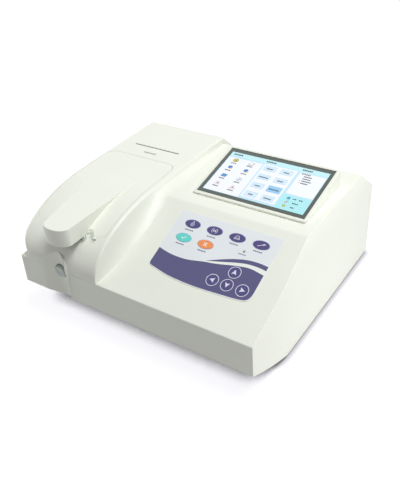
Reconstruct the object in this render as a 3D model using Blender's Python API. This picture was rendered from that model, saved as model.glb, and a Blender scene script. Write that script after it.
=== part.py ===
"""Semi-automatic chemistry analyzer: a bench instrument with a sloping keypad panel, a tilted touch screen
and a raised module on its left that holds the flow cell, the pump and the printer.

Metres, +Z up, +X to the operator's right, -Y towards the operator. The origin is on the table, under the
middle of the whole instrument.
"""
import math

import bmesh
import bpy
from mathutils import Matrix, Vector

# Overall size and the case's outline, seen from the right
CASE_WIDTH = 0.381
CASE_DEPTH = 0.355
TONGUE_REACH = 0.0045
FOOT_STAND = 0.0025
SILL_HEIGHT = 0.0409
FRONT_HEIGHT = 0.0462
PANEL_RUN = 0.1496
PANEL_RISE = 0.0602
DECK_RUN = 0.1739
BACK_SLOPE_DROP = 0.030
CHIN_RUN = 0.0888
SHOULDER_HEIGHT = 0.117
SHOULDER_LEAN = 0.006
WALL = 0.0026
GAP = 0.0003
RUNNING_FIT = 0.00006
LEFT_DRAFT = 0.0035

# Raised module on the left
MODULE_INSET = 0.0045
MODULE_WIDTH = 0.1404
MODULE_RISE = 0.0699
NOSE_RUN = 0.140
NOSE_SETBACK = 0.0005
NOSE_CORNER = 0.030
MODULE_EDGE = 0.0045
FLANK_FLARE = 0.024
FLANK_LENGTH = 0.315

# Sample groove and its button
GROOVE_RADIUS = 0.026
GROOVE_DEPTH = 0.008
GROOVE_FROM_LEFT = 0.0745
GROOVE_TOP = 0.045
BUTTON_RADIUS = 0.0085
BUTTON_HEIGHT = 0.080
BUTTON_PROUD = 0.0045
BUTTON_TRAVEL = 0.003
BUTTON_STEM_RADIUS = 0.0032
BUTTON_STEM_LENGTH = 0.016
CLIP_FROM_END = 0.0040
CLIP_RADIUS = 0.0055
CLIP_THICK = 0.0012
SPRING_RADIUS = 0.0046
SPRING_WIRE = 0.0004
SPRING_TURNS = 3
SWITCH_BODY = 0.014
SWITCH_BODY_DEPTH = 0.008
PLUNGER_HALF = 0.002
PLUNGER_PROUD = 0.001

# Bay, cover and tongue
BAY_LEFT_MARGIN = 0.0105
BAY_RIGHT_MARGIN = 0.0119
BAY_FRONT = 0.0366
BAY_BACK = 0.2106
BAY_CORNER = 0.011
SEAM = 0.0007
TONGUE_TIP_WIDTH = 0.0446
TONGUE_ROOT_WIDTH = 0.0830
TONGUE_FROM_BAY_RIGHT = 0.0260
TONGUE_ROOT = 0.160
TONGUE_DROP = 0.0275
TONGUE_RISE = 0.0010
BUSH_FROM_TONGUE = 0.0030
BUSH_BELOW_TONGUE = 0.0050
BUSH_RADIUS = 0.0022
HOSE_FROM_TONGUE = 0.0215
HOSE_BELOW_TONGUE = 0.0020
RIB_DEPTH = 0.0050

# Paper slot and latch
SLOT_WIDTH = 0.083
SLOT_GAP = 0.0022
SLOT_RUN = 0.2448
LATCH_WIDTH = 0.024
LATCH_DEPTH = 0.0055
LATCH_RUN = 0.2300
LATCH_PROUD = 0.0020
LATCH_TRAVEL = 0.0025

# Screen
SCREEN_WIDTH = 0.165
SCREEN_DEPTH = 0.100
SCREEN_TILT = math.radians(12.2)
SCREEN_FROM_RIGHT = 0.1073
SCREEN_RUN = 0.2259
SCREEN_HEIGHT = 0.1609
GLASS_THICK = 0.0018
DISPLAY_THICK = 0.0050
BEZEL_RIM = 0.0045
BEZEL_LIP = 0.0008
BEZEL_SLEEVE = 0.0019
BEZEL_LEDGE = 0.0030
BEZEL_CORNER = 0.004

# Keypad film, with places along the slope of the panel
FILM_THICK = 0.0008
FILM_WIDTH = 0.151
FILM_FROM_RIGHT = 0.0315
FILM_TOP = 0.1458
FILM_SIDE_FOOT = 0.0560
FILM_BELLY = 0.0125
FILM_CORNER = 0.003
KEY_PITCH = 0.0345
KEY_FIRST = 0.1584
KEY_ROW_TOP = 0.1295
KEY_ROW_LOW = 0.1063
KEY_HALF_WIDTH = 0.0098
KEY_HALF_DEPTH = 0.0078
KEY_RISE = 0.0005
ARROW_CENTRE = 0.0681
ARROW_PITCH = 0.0213
ARROW_ROW = 0.0625
ARROW_STEP = 0.0194
ARROW_RADIUS = 0.0080
LED_FROM_RIGHT = 0.0713
LED_ROW = 0.1136
LED_RADIUS = 0.0014

# Underside
PLATE_THICK = 0.0020
FOOT_RADIUS = 0.0095
FOOT_STEM_RADIUS = 0.0030
FOOT_FROM_SIDE = 0.032
FOOT_FROM_BACK = 0.030
FOOT_FROM_KINK = 0.022
SCREW_HEAD_RADIUS = 0.0035
SCREW_HEAD_THICK = 0.0018
SCREW_SHANK_RADIUS = 0.0015
SCREW_LENGTH = 0.010
SCREW_FROM_SIDE = 0.0080
SCREW_FROM_BACK = 0.012
SCREW_FROM_KINK = 0.006
POST_RADIUS = 0.0042

# Optical bench in the left bay
BENCH_WIDTH = 0.066
BENCH_LENGTH = 0.150
BENCH_THICK = 0.010
BENCH_FROM_LEFT = 0.014
BENCH_RUN = 0.094
BEAM_HEIGHT = 0.040
WHEEL_RADIUS = 0.026
WHEEL_THICK = 0.006
WHEEL_FILTERS = 8
WHEEL_SHAFT_RADIUS = 0.0025
MOTOR_SIDE = 0.020
MOTOR_LENGTH = 0.015
FILTER_REACH = 0.018
FILTER_RADIUS = 0.0045
CELL_SIDE = 0.036
CELL_HEIGHT = 0.058
LAMP_RADIUS = 0.0065

# Peristaltic pump
PUMP_RADIUS = 0.0170
PUMP_HEIGHT = 0.018
PUMP_FROM_BENCH = 0.004
PUMP_RUN = 0.130
PUMP_MOTOR_RADIUS = 0.0165
PUMP_MOTOR_LENGTH = 0.052
PUMP_ROTOR_RADIUS = 0.0110
PUMP_ROLLERS = 4
PUMP_ROLLER_RADIUS = 0.0032
HOSE_RADIUS = 0.0012

# Printer
PAPER_WIDTH = 0.057
PAPER_RADIUS = 0.018
PLATEN_RADIUS = 0.0045
PLATEN_LENGTH = 0.060

# Boards, supply and the rear panel
BOARD_WIDTH = 0.130
BOARD_LENGTH = 0.150
BOARD_THICK = 0.0016
BOARD_FROM_RIGHT = 0.020
BOARD_RUN = 0.100
BOARD_STAND = 0.008
SUPPLY_WIDTH = 0.062
SUPPLY_LENGTH = 0.110
SUPPLY_HEIGHT = 0.034
REAR_WIDTH = 0.205
REAR_HEIGHT = 0.072
REAR_FROM_RIGHT = 0.016
REAR_BOTTOM = 0.020
REAR_RECESS = 0.003
REAR_THICK = 0.0020
FAN_SIDE = 0.050
FAN_DEPTH = 0.015
FAN_BLADES = 7
INLET_WIDTH = 0.048
SWITCH_WIDTH = 0.013
SWITCH_HEIGHT = 0.019
SWITCH_ROCK = math.radians(8)
ROUND_SIDES = 24

# Places worked out from the sizes
X_LEFT = -CASE_WIDTH / 2
X_RIGHT = CASE_WIDTH / 2
Y_FRONT = -(CASE_DEPTH + TONGUE_REACH) / 2 + TONGUE_REACH
Y_BACK = Y_FRONT + CASE_DEPTH
Z_UNDER = FOOT_STAND
Z_SILL = Z_UNDER + SILL_HEIGHT
Z_LEDGE = Z_SILL + FRONT_HEIGHT
Z_DECK = Z_LEDGE + PANEL_RISE
Z_TOP = Z_LEDGE + MODULE_RISE
Z_FLOOR = Z_UNDER + PLATE_THICK
PANEL_ANGLE = math.atan2(PANEL_RISE, PANEL_RUN)
MODULE_LEFT = X_LEFT + MODULE_INSET
MODULE_RIGHT = MODULE_LEFT + MODULE_WIDTH
DECK_BACK = PANEL_RUN + DECK_RUN
BACK_SLOPE_RUN = CASE_DEPTH - DECK_BACK
BLOCK_LEFT = MODULE_RIGHT - 3 * WALL
BAY_X0 = MODULE_LEFT + BAY_LEFT_MARGIN
BAY_X1 = MODULE_RIGHT - BAY_RIGHT_MARGIN
GROOVE_X = X_LEFT + GROOVE_FROM_LEFT
TONGUE_X1 = BAY_X1 - TONGUE_FROM_BAY_RIGHT
TONGUE_TOP = Z_TOP + TONGUE_RISE
TONGUE_TIP_Y = Y_FRONT - TONGUE_REACH
BENCH_X0 = MODULE_LEFT + BENCH_FROM_LEFT
BENCH_X = BENCH_X0 + BENCH_WIDTH / 2
BENCH_Z = Z_FLOOR + GAP + BENCH_THICK
BEAM_Z = BENCH_Z + BEAM_HEIGHT
PUMP_X = BENCH_X0 + BENCH_WIDTH + PUMP_FROM_BENCH + PUMP_RADIUS + 2 * WALL
PUMP_Y = Y_FRONT + PUMP_RUN
SCREEN_X = X_RIGHT - SCREEN_FROM_RIGHT
SCREEN_FRAME = (
    Matrix.Translation((SCREEN_X, Y_FRONT + SCREEN_RUN, Z_UNDER + SCREEN_HEIGHT))
    @ Matrix.Rotation(SCREEN_TILT, 4, "X")
)
PANEL_FRAME = Matrix.Translation((X_RIGHT, Y_FRONT, Z_LEDGE)) @ Matrix.Rotation(PANEL_ANGLE, 4, "X")
REAR_X0 = X_RIGHT - REAR_FROM_RIGHT - REAR_WIDTH
REAR_X1 = X_RIGHT - REAR_FROM_RIGHT
REAR_Z0 = Z_UNDER + REAR_BOTTOM
REAR_Z1 = REAR_Z0 + REAR_HEIGHT
REAR_Y = Y_BACK - REAR_RECESS

# Finishes: colour, roughness, metallic
IVORY = ((0.905, 0.925, 0.860), 0.42, 0.0)
GREY_BUTTON = ((0.36, 0.41, 0.41), 0.40, 0.0)
BLACK_PLASTIC = ((0.02, 0.02, 0.02), 0.45, 0.0)
DARK_GLASS = ((0.09, 0.12, 0.11), 0.08, 0.0)
DISPLAY_GREY = ((0.35, 0.36, 0.37), 0.50, 0.2)
FILM = ((0.72, 0.76, 0.82), 0.35, 0.0)
GREEN_LENS = ((0.10, 0.55, 0.15), 0.20, 0.0)
CLEAR_HOSE = ((0.80, 0.84, 0.82), 0.20, 0.0)
RUBBER = ((0.03, 0.03, 0.03), 0.80, 0.0)
STEEL = ((0.62, 0.63, 0.64), 0.32, 1.0)
CAST_METAL = ((0.48, 0.49, 0.50), 0.50, 0.9)
BLACK_METAL = ((0.03, 0.03, 0.035), 0.40, 0.6)
QUARTZ = ((0.85, 0.90, 0.92), 0.05, 0.0)
BOARD_GREEN = ((0.02, 0.16, 0.07), 0.45, 0.0)
PAPER = ((0.88, 0.88, 0.86), 0.80, 0.0)


def clear_scene():
    """Empties the scene without closing the file."""
    for existing in list(bpy.data.objects):
        bpy.data.objects.remove(existing, do_unlink=True)


def rear_x(share):
    """A place across the rear panel, as a share of its width from its left end, seen from the front."""
    return REAR_X0 + REAR_WIDTH * share


def deck_height(run):
    """Height of the right block's top at a distance behind the front face."""
    if run < PANEL_RUN:
        return Z_LEDGE + PANEL_RISE * run / PANEL_RUN
    if run < DECK_BACK:
        return Z_DECK
    return Z_DECK - BACK_SLOPE_DROP * (run - DECK_BACK) / BACK_SLOPE_RUN


def nose_height(run):
    """Height of the raised module's top at a distance behind the front face."""
    share = max(0.0, 1 - run / NOSE_RUN)
    return Z_LEDGE + MODULE_RISE * math.sqrt(1 - share * share)


def nose_run(height):
    """Distance behind the front face at which the curved nose has a height."""
    share = (height - Z_LEDGE) / MODULE_RISE
    return NOSE_RUN * (1 - math.sqrt(1 - share * share))


def chin_height(run):
    """Height of the curved chin's underside over the case's underside."""
    share = 1 - run / CHIN_RUN
    return Z_UNDER + SILL_HEIGHT * (0.72 * share + 0.28 * share * share)


def plate_top(run):
    """Height of the base plate's upper face over the chin."""
    rate = (chin_height(run - 0.0005) - chin_height(run + 0.0005)) / 0.001
    return chin_height(run) + PLATE_THICK * math.sqrt(1 + rate * rate)


def chin_points(start, count=7):
    """Points along the chin from the kink forwards to a distance behind the front face."""
    runs = [CHIN_RUN + (start - CHIN_RUN) * step / count for step in range(count + 1)]
    return [(Y_FRONT + run, chin_height(run)) for run in runs]


def arc(centre, radius, start, end, count):
    """Points on an arc, ends included, angles in degrees."""
    angles = [math.radians(start + (end - start) * step / count) for step in range(count + 1)]
    return [(centre[0] + radius * math.cos(a), centre[1] + radius * math.sin(a)) for a in angles]


def rounded_rectangle(x0, y0, x1, y1, radius, count=4):
    """Outline of a rectangle with round corners."""
    return (
        arc((x1 - radius, y0 + radius), radius, -90, 0, count)
        + arc((x1 - radius, y1 - radius), radius, 0, 90, count)
        + arc((x0 + radius, y1 - radius), radius, 90, 180, count)
        + arc((x0 + radius, y0 + radius), radius, 180, 270, count)
    )


def ellipse(centre, half_x, half_y, count=20):
    """Outline of an ellipse."""
    angles = [2 * math.pi * step / count for step in range(count)]
    return [(centre[0] + half_x * math.cos(a), centre[1] + half_y * math.sin(a)) for a in angles]


def offset_outline(points, distances):
    """Moves each edge of a closed outline inwards by its own distance; edge i runs from point i to i + 1."""
    count = len(points)
    area = sum(points[i - 1][0] * points[i][1] - points[i][0] * points[i - 1][1] for i in range(count))
    turn = 1 if area > 0 else -1
    lines = []
    for index, start in enumerate(points):
        end = points[(index + 1) % count]
        along = Vector((end[0] - start[0], end[1] - start[1])).normalized()
        inward = Vector((-along.y, along.x)) * turn
        lines.append((Vector(start) + inward * distances[index], along))
    moved = []
    for index in range(count):
        base, along = lines[index - 1]
        other, other_along = lines[index]
        cross = along.x * other_along.y - along.y * other_along.x
        if abs(cross) < 1e-6:
            moved.append(tuple(other))
            continue
        step = other - base
        reach = (step.x * other_along.y - step.y * other_along.x) / cross
        moved.append(tuple(base + along * reach))
    return moved


def paint(made, finish):
    """Gives a piece its own material in place of the one it was made with."""
    colour, roughness, metallic = finish
    made.data.materials.clear()
    material = bpy.data.materials.new(made.name)
    material.use_nodes = True
    shader = material.node_tree.nodes["Principled BSDF"]
    shader.inputs["Base Color"].default_value = (*colour, 1)
    shader.inputs["Roughness"].default_value = roughness
    shader.inputs["Metallic"].default_value = metallic
    made.data.materials.append(material)
    return made


def add_object(name, mesh_work, finish):
    """Closes a bmesh into an object with its own material."""
    bmesh.ops.remove_doubles(mesh_work, verts=mesh_work.verts, dist=1e-7)
    loose = [edge for edge in mesh_work.edges if not edge.link_faces]
    bmesh.ops.delete(mesh_work, geom=loose, context="EDGES")
    bmesh.ops.recalc_face_normals(mesh_work, faces=mesh_work.faces)
    mesh = bpy.data.meshes.new(name)
    mesh_work.to_mesh(mesh)
    mesh_work.free()
    made = bpy.data.objects.new(name, mesh)
    bpy.context.collection.objects.link(made)
    return paint(made, finish)


def place(axis, pair, along):
    """A point from two coordinates in a plane and one along the axis across it."""
    if axis == "X":
        return (along, pair[0], pair[1])
    if axis == "Y":
        return (pair[0], along, pair[1])
    return (pair[0], pair[1], along)


def prism(name, outline, axis, start, end, finish=IVORY):
    """A flat outline pushed along an axis."""
    work = bmesh.new()
    ends = [[work.verts.new(place(axis, pair, level)) for pair in outline] for level in (start, end)]
    work.faces.new(ends[0])
    work.faces.new(ends[1])
    for index in range(len(outline)):
        after = (index + 1) % len(outline)
        work.faces.new((ends[0][index], ends[0][after], ends[1][after], ends[1][index]))
    return add_object(name, work, finish)


def loft(name, rings, finish=IVORY):
    """A closed skin over rings of equal count, with flat ends."""
    work = bmesh.new()
    rows = [[work.verts.new(point) for point in ring] for ring in rings]
    for first, second in zip(rows, rows[1:]):
        for index in range(len(first)):
            after = (index + 1) % len(first)
            work.faces.new((first[index], first[after], second[after], second[index]))
    work.faces.new(rows[0])
    work.faces.new(rows[-1])
    return add_object(name, work, finish)


def block(name, low, high, finish=IVORY):
    """A plain box between two corners."""
    outline = [(low[0], low[1]), (high[0], low[1]), (high[0], high[1]), (low[0], high[1])]
    return prism(name, outline, "Z", low[2], high[2], finish)


def turned(name, profile, centre, axis, finish=IVORY, sides=ROUND_SIDES):
    """A closed profile of (radius, distance) pairs turned round an axis through a centre."""
    work = bmesh.new()
    points = [work.verts.new((radius, 0, level)) for radius, level in profile]
    for first, second in zip(points, points[1:] + points[:1]):
        work.edges.new((first, second))
    bmesh.ops.spin(
        work, geom=work.verts[:] + work.edges[:], cent=(0, 0, 0), axis=(0, 0, 1),
        angle=2 * math.pi, steps=sides, use_merge=True, use_duplicate=False,
    )
    bmesh.ops.remove_doubles(work, verts=work.verts, dist=1e-7)
    bmesh.ops.dissolve_degenerate(work, edges=work.edges, dist=1e-8)
    turn = {"X": Matrix.Rotation(math.pi / 2, 4, "Y"), "Y": Matrix.Rotation(-math.pi / 2, 4, "X")}
    matrix = Matrix.Translation(centre) @ turn.get(axis, Matrix.Identity(4))
    bmesh.ops.transform(work, matrix=matrix, verts=work.verts)
    return add_object(name, work, finish)


def rod(name, centre, axis, radius, length, finish=IVORY, sides=ROUND_SIDES):
    """A round bar that starts at a centre and runs along an axis; a negative length runs the other way."""
    return turned(name, [(0, 0), (radius, 0), (radius, length), (0, length)], centre, axis, finish, sides)


def pipe(name, points, radius, finish, sides_level=2):
    """A round hose along a smooth path, as a bevelled curve with filled ends."""
    curve = bpy.data.curves.new(name, "CURVE")
    curve.dimensions = "3D"
    curve.bevel_depth = radius
    curve.bevel_resolution = sides_level
    curve.use_fill_caps = True
    spline = curve.splines.new("POLY")
    spline.points.add(len(points) - 1)
    for target, point in zip(spline.points, points):
        target.co = (*point, 1)
    made = bpy.data.objects.new(name, curve)
    bpy.context.collection.objects.link(made)
    bpy.context.view_layer.update()
    mesh = bpy.data.meshes.new_from_object(made.evaluated_get(bpy.context.evaluated_depsgraph_get()))
    bpy.data.objects.remove(made, do_unlink=True)
    work = bmesh.new()
    work.from_mesh(mesh)
    bpy.data.meshes.remove(mesh)
    bmesh.ops.remove_doubles(work, verts=work.verts, dist=1e-6)
    return add_object(name, work, finish)


def smooth_path(points, steps=6):
    """Points on a smooth curve through a route's own points."""
    knots = [Vector(point) for point in points]
    padded = [2 * knots[0] - knots[1]] + knots + [2 * knots[-1] - knots[-2]]
    path = []
    for index in range(1, len(padded) - 2):
        before, start, end, after = padded[index - 1 : index + 3]
        for step in range(steps):
            share = step / steps
            path.append(0.5 * (
                2 * start + (end - before) * share
                + (2 * before - 5 * start + 4 * end - after) * share ** 2
                + (3 * start - before - 3 * end + after) * share ** 3
            ))
    return path + [knots[-1]]


def combine(target, tool, operation):
    """Applies an exact Boolean with another object, which is used up."""
    modifier = target.modifiers.new(operation, "BOOLEAN")
    modifier.object = tool
    modifier.operation = operation
    modifier.solver = "EXACT"
    bpy.context.view_layer.update()
    evaluated = target.evaluated_get(bpy.context.evaluated_depsgraph_get())
    mesh = bpy.data.meshes.new_from_object(evaluated)
    target.modifiers.clear()
    old = target.data
    materials = [slot for slot in old.materials]
    target.data = mesh
    mesh.materials.clear()
    for slot in materials[:1]:
        mesh.materials.append(slot)
    mesh.polygons.foreach_set("material_index", [0] * len(mesh.polygons))
    bpy.data.meshes.remove(old)
    bpy.data.objects.remove(tool, do_unlink=True)
    return target


def cut(target, *tools):
    """Takes each tool out of a target."""
    for tool in tools:
        combine(target, tool, "DIFFERENCE")
    return target


def weld(target, *tools):
    """Adds each tool to a target as one body."""
    for tool in tools:
        combine(target, tool, "UNION")
    return target


def turn_into(made, matrix):
    """Moves a mesh by a matrix, with the object left at the origin."""
    made.data.transform(matrix)
    made.data.update()
    return made


def tidy(made):
    """Merges the points that the Booleans left on top of each other and splits the faces into triangles."""
    work = bmesh.new()
    work.from_mesh(made.data)
    bmesh.ops.remove_doubles(work, verts=work.verts, dist=1e-6)
    bmesh.ops.triangulate(work, faces=work.faces)
    work.to_mesh(made.data)
    work.free()
    return made


def shade(made, angle=30):
    """Shades round faces smooth and keeps the sharp edges."""
    made.data.shade_smooth()
    made.data.set_sharp_from_angle(angle=math.radians(angle))
    return made


def pivot(made, point):
    """Puts a moving piece's origin on its joint's axis."""
    made.data.transform(Matrix.Translation(-Vector(point)))
    made.location = point
    return made


def case_outline():
    """The right block from the side: front, panel, deck, back slope, back, underside and chin."""
    top = [
        (Y_FRONT, Z_SILL), (Y_FRONT, Z_LEDGE), (Y_FRONT + PANEL_RUN, Z_DECK),
        (Y_FRONT + DECK_BACK, Z_DECK), (Y_BACK, Z_DECK - BACK_SLOPE_DROP), (Y_BACK, Z_UNDER),
    ]
    return top + chin_points(0)[:-1]


def low_outline():
    """The left base from the side, which stops at the ledge."""
    return [(Y_FRONT, Z_SILL), (Y_FRONT, Z_LEDGE), (Y_BACK, Z_LEDGE), (Y_BACK, Z_UNDER)] + chin_points(0)[:-1]


def open_below(outline, walls, depth):
    """Offsets an outline inwards by a wall, and outwards where the case is open below."""
    open_edges = len(outline) - walls
    return offset_outline(outline, [WALL] * walls + [-depth] * open_edges)


def trim_shoulder(made, inset):
    """Leans the upper part of the right wall inwards."""
    foot = Vector((X_RIGHT, 0, Z_UNDER + SHOULDER_HEIGHT))
    slope = Vector((-SHOULDER_LEAN, 0, Z_DECK - Z_UNDER - SHOULDER_HEIGHT)).normalized()
    normal = Vector((slope.z, 0, -slope.x))
    work = bmesh.new()
    work.from_mesh(made.data)
    result = bmesh.ops.bisect_plane(
        work, geom=work.verts[:] + work.edges[:] + work.faces[:], dist=1e-7,
        plane_co=foot - normal * inset, plane_no=normal, clear_outer=True,
    )
    edges = [item for item in result["geom_cut"] if isinstance(item, bmesh.types.BMEdge)]
    bmesh.ops.contextual_create(work, geom=edges)
    bmesh.ops.recalc_face_normals(work, faces=work.faces)
    work.to_mesh(made.data)
    work.free()
    return made


def lean_left(made, inset):
    """Gives the left wall its draft."""
    rate = LEFT_DRAFT / (Z_LEDGE - Z_UNDER)
    for vertex in made.data.vertices:
        if vertex.co.x < MODULE_LEFT + inset:
            vertex.co.x += rate * (vertex.co.z - Z_UNDER)
    return made


def module_outline():
    """The module from the side: curved nose, flat top and back slope."""
    count = 12
    first = math.degrees(math.acos(1 - NOSE_SETBACK / NOSE_RUN))
    points = []
    for step in range(count + 1):
        angle = math.radians(first + (90 - first) * step / count)
        points.append((Y_FRONT + NOSE_RUN * (1 - math.cos(angle)), Z_LEDGE + MODULE_RISE * math.sin(angle)))
    points.append((Y_FRONT + DECK_BACK, Z_TOP))
    points.append((Y_BACK, Z_TOP - BACK_SLOPE_DROP))
    return points


def flare(run):
    """How far the foot of the right flank stands out from the module's top edge."""
    share = min(1.0, max(0.0, run / FLANK_LENGTH)) ** 0.85
    return FLANK_FLARE * math.sin(math.pi * share)


def module_ring(y, top, inset):
    """One cross-section of the module, from the left foot over the top to the flank's foot."""
    run = max(0.0, y - Y_FRONT)
    corner = 0.0
    if run < NOSE_CORNER:
        corner = NOSE_CORNER - math.sqrt(NOSE_CORNER ** 2 - (NOSE_CORNER - run) ** 2)
    corner = min(corner, 0.5 * NOSE_CORNER)
    left = MODULE_LEFT + corner + inset
    right = MODULE_RIGHT - inset
    foot_x = MODULE_RIGHT + flare(run) - 1.4 * inset
    foot_z = deck_height(run) - (0.0008 if inset == 0 else 1.35 * inset)
    low = Z_LEDGE - (0.006 if inset == 0 else 0.012)
    radius = min(MODULE_EDGE, 0.4 * (top - foot_z), 0.4 * (top - low))
    radius = max(radius - inset, 0.0004)
    ring = [(left, low)]
    ring += arc((left + radius, top - radius), radius, 180, 90, 3)
    ring += arc((right - radius, top - radius), radius, 90, 20, 3)
    edge = ring[-1]
    bend = (edge[0] + 0.25 * (foot_x - edge[0]), foot_z + 0.18 * (edge[1] - foot_z))
    for share in (0.35, 0.6, 0.82):
        ring.append(tuple(
            (1 - share) ** 2 * edge[k] + 2 * share * (1 - share) * bend[k] + share ** 2 * (foot_x, foot_z)[k]
            for k in range(2)
        ))
    ring.append((foot_x, foot_z))
    ring.append((foot_x, low))
    return [(x, y, z) for x, z in ring]


def module_solid(name, inset):
    """The raised module as a solid, drawn in by a wall for its inside."""
    path = module_outline()
    closed = path + [(Y_BACK, Z_LEDGE - 0.02), (path[0][0], Z_LEDGE - 0.02)]
    moved = offset_outline(closed, [inset] * len(closed))[: len(path)]
    return loft(name, [module_ring(y, top, inset) for y, top in moved])


def groove_solid(name, grow):
    """The round scoop for the sample tube."""
    centre = (GROOVE_X, Y_FRONT + GROOVE_DEPTH - GROOVE_RADIUS, Z_UNDER - 0.01)
    height = Z_LEDGE + GROOVE_TOP + grow - centre[2]
    return rod(name, centre, "Z", GROOVE_RADIUS + grow, height, sides=64)


def case_solid(name, inset):
    """The whole case as one solid, or the hollow inside its wall."""
    inside = inset > 0
    side = case_outline() if not inside else open_below(case_outline(), 5, 0.006)
    low = low_outline() if not inside else open_below(low_outline(), 3, 0.006)
    right_block = prism(name, side, "X", BLOCK_LEFT - inset, X_RIGHT - inset)
    trim_shoulder(right_block, inset)
    left_base = prism("left_base", low, "X", X_LEFT + inset, BLOCK_LEFT + 0.002)
    lean_left(left_base, inset)
    weld(right_block, left_base, module_solid("module", inset))
    if inside:
        cut(right_block, groove_solid("groove_wall", WALL))
    else:
        cut(right_block, groove_solid("groove", 0))
    return right_block


def bay_outline(shrink):
    """The cover's seam in plan."""
    return rounded_rectangle(
        BAY_X0 + shrink, Y_FRONT + BAY_FRONT + shrink, BAY_X1 - shrink, Y_FRONT + BAY_BACK - shrink,
        BAY_CORNER - shrink,
    )


def screen_prism(name, half_x, half_y, low, high, radius=0.0):
    """A prism across the screen, with its levels measured from the glass."""
    if radius:
        outline = rounded_rectangle(-half_x, -half_y, half_x, half_y, radius)
    else:
        outline = [(-half_x, -half_y), (half_x, -half_y), (half_x, half_y), (-half_x, half_y)]
    return turn_into(prism(name, outline, "Z", low, high), SCREEN_FRAME)


def foot_places():
    """The four feet, in plan."""
    for x in (X_LEFT + FOOT_FROM_SIDE, X_RIGHT - FOOT_FROM_SIDE):
        for y in (Y_FRONT + CHIN_RUN + FOOT_FROM_KINK, Y_BACK - FOOT_FROM_BACK):
            yield x, y


def screw_places():
    """The four base screws, in plan."""
    for x in (X_LEFT + SCREW_FROM_SIDE + LEFT_DRAFT, X_RIGHT - SCREW_FROM_SIDE):
        for y in (Y_FRONT + CHIN_RUN + SCREW_FROM_KINK, Y_BACK - SCREW_FROM_BACK):
            yield x, y


def make_housing():
    """The one-piece case, and the cover's own sheet, which is cut out of the same skin."""
    shell = cut(case_solid("housing", 0), case_solid("hollow", WALL))
    cover_skin = shell.copy()
    cover_skin.data = shell.data.copy()
    cover_skin.name = "arm_cover"
    bpy.context.collection.objects.link(cover_skin)
    combine(cover_skin, prism("seam_inside", bay_outline(SEAM), "Z", Z_LEDGE + 0.030, Z_TOP + 0.02), "INTERSECT")
    cut(shell, prism("bay", bay_outline(0), "Z", Z_LEDGE + 0.030, Z_TOP + 0.02))
    slot_x = BAY_X0 + 0.5 * (BAY_X1 - BAY_X0)
    slot_y = Y_FRONT + SLOT_RUN
    cut(shell, block(
        "slot", (slot_x - SLOT_WIDTH / 2, slot_y - SLOT_GAP / 2, Z_TOP - 0.01),
        (slot_x + SLOT_WIDTH / 2, slot_y + SLOT_GAP / 2, Z_TOP + 0.01),
    ))
    latch_y = Y_FRONT + LATCH_RUN
    half = LATCH_WIDTH / 2 - WALL
    cut(shell, block(
        "latch_window", (slot_x - half - GAP, latch_y - LATCH_DEPTH / 2 + 0.001 - GAP, Z_TOP - 0.01),
        (slot_x + half + GAP, latch_y + LATCH_DEPTH / 2 - 0.001 + LATCH_TRAVEL + GAP, Z_TOP + 0.01),
    ))
    sleeve = BEZEL_SLEEVE + 2 * GAP
    cut(shell, screen_prism("screen_hole", SCREEN_WIDTH / 2 + sleeve, SCREEN_DEPTH / 2 + sleeve, -0.034, 0.02))
    led = rod("led_hole", (-LED_FROM_RIGHT, LED_ROW, -0.01), "Z", LED_RADIUS + GAP, 0.02, sides=16)
    cut(shell, turn_into(led, PANEL_FRAME))
    button_z = Z_UNDER + BUTTON_HEIGHT
    hole = rod("stem_hole", (GROOVE_X, Y_FRONT, button_z), "Y", BUTTON_STEM_RADIUS + GAP, 0.03, sides=24)
    well = rod("button_well", (GROOVE_X, Y_FRONT - 0.01, button_z), "Y", BUTTON_RADIUS + GAP,
               0.01 + GROOVE_DEPTH + WALL / 2 + BUTTON_TRAVEL, sides=ROUND_SIDES)
    seat = rod("button_seat", (GROOVE_X, Y_FRONT + GROOVE_DEPTH - 0.001, button_z), "Y", BUTTON_RADIUS + GAP + WALL,
               0.001 + WALL + BUTTON_TRAVEL + WALL / 2, sides=ROUND_SIDES)
    weld(shell, seat)
    cut(shell, well, hole)
    grommet = grommet_frame()
    cut(shell, turn_into(rod("bush_hole", (0, 0, -0.02), "Z", BUSH_RADIUS + GAP, 0.04, sides=16), grommet))
    cut(shell, turn_into(rod("hose_hole", (0, 0, -0.02), "Z", HOSE_RADIUS + GAP, 0.04, sides=16), hose_frame()))
    cut(shell, block("rear_hole", (REAR_X0, REAR_Y - REAR_THICK - 0.02, REAR_Z0), (REAR_X1, Y_BACK + 0.01, REAR_Z1)))
    rim = block(
        "rear_rim", (REAR_X0 - WALL, REAR_Y - REAR_THICK - WALL, REAR_Z0 - WALL),
        (REAR_X1 + WALL, Y_BACK - WALL / 2, REAR_Z1 + WALL),
    )
    cut(rim, block("rim_window", (REAR_X0, REAR_Y - REAR_THICK - GAP, REAR_Z0), (REAR_X1, Y_BACK + 0.01, REAR_Z1)))
    cut(rim, block("rim_inner", (REAR_X0 + 0.003, REAR_Y - 0.02, REAR_Z0 + 0.003), (REAR_X1 - 0.003, Y_BACK, REAR_Z1 - 0.003)))
    weld(shell, rim)
    for x, y in screw_places():
        post = rod("post", (x, y, Z_FLOOR + GAP), "Z", POST_RADIUS, 0.020, sides=16)
        inner = X_LEFT + WALL if x < 0 else X_RIGHT - WALL
        rib = block("rib", (min(x, inner) - 0.0012 * (x < 0), y - 0.0012, Z_FLOOR + GAP),
                    (max(x, inner) + 0.0012 * (x > 0), y + 0.0012, Z_FLOOR + GAP + 0.020))
        weld(shell, post, rib)
        cut(shell, rod("bore", (x, y, Z_UNDER), "Z", SCREW_SHANK_RADIUS + GAP, SCREW_LENGTH + 0.004, sides=16))
    tidy(shell)
    shade(shell)
    return cover_skin


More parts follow.
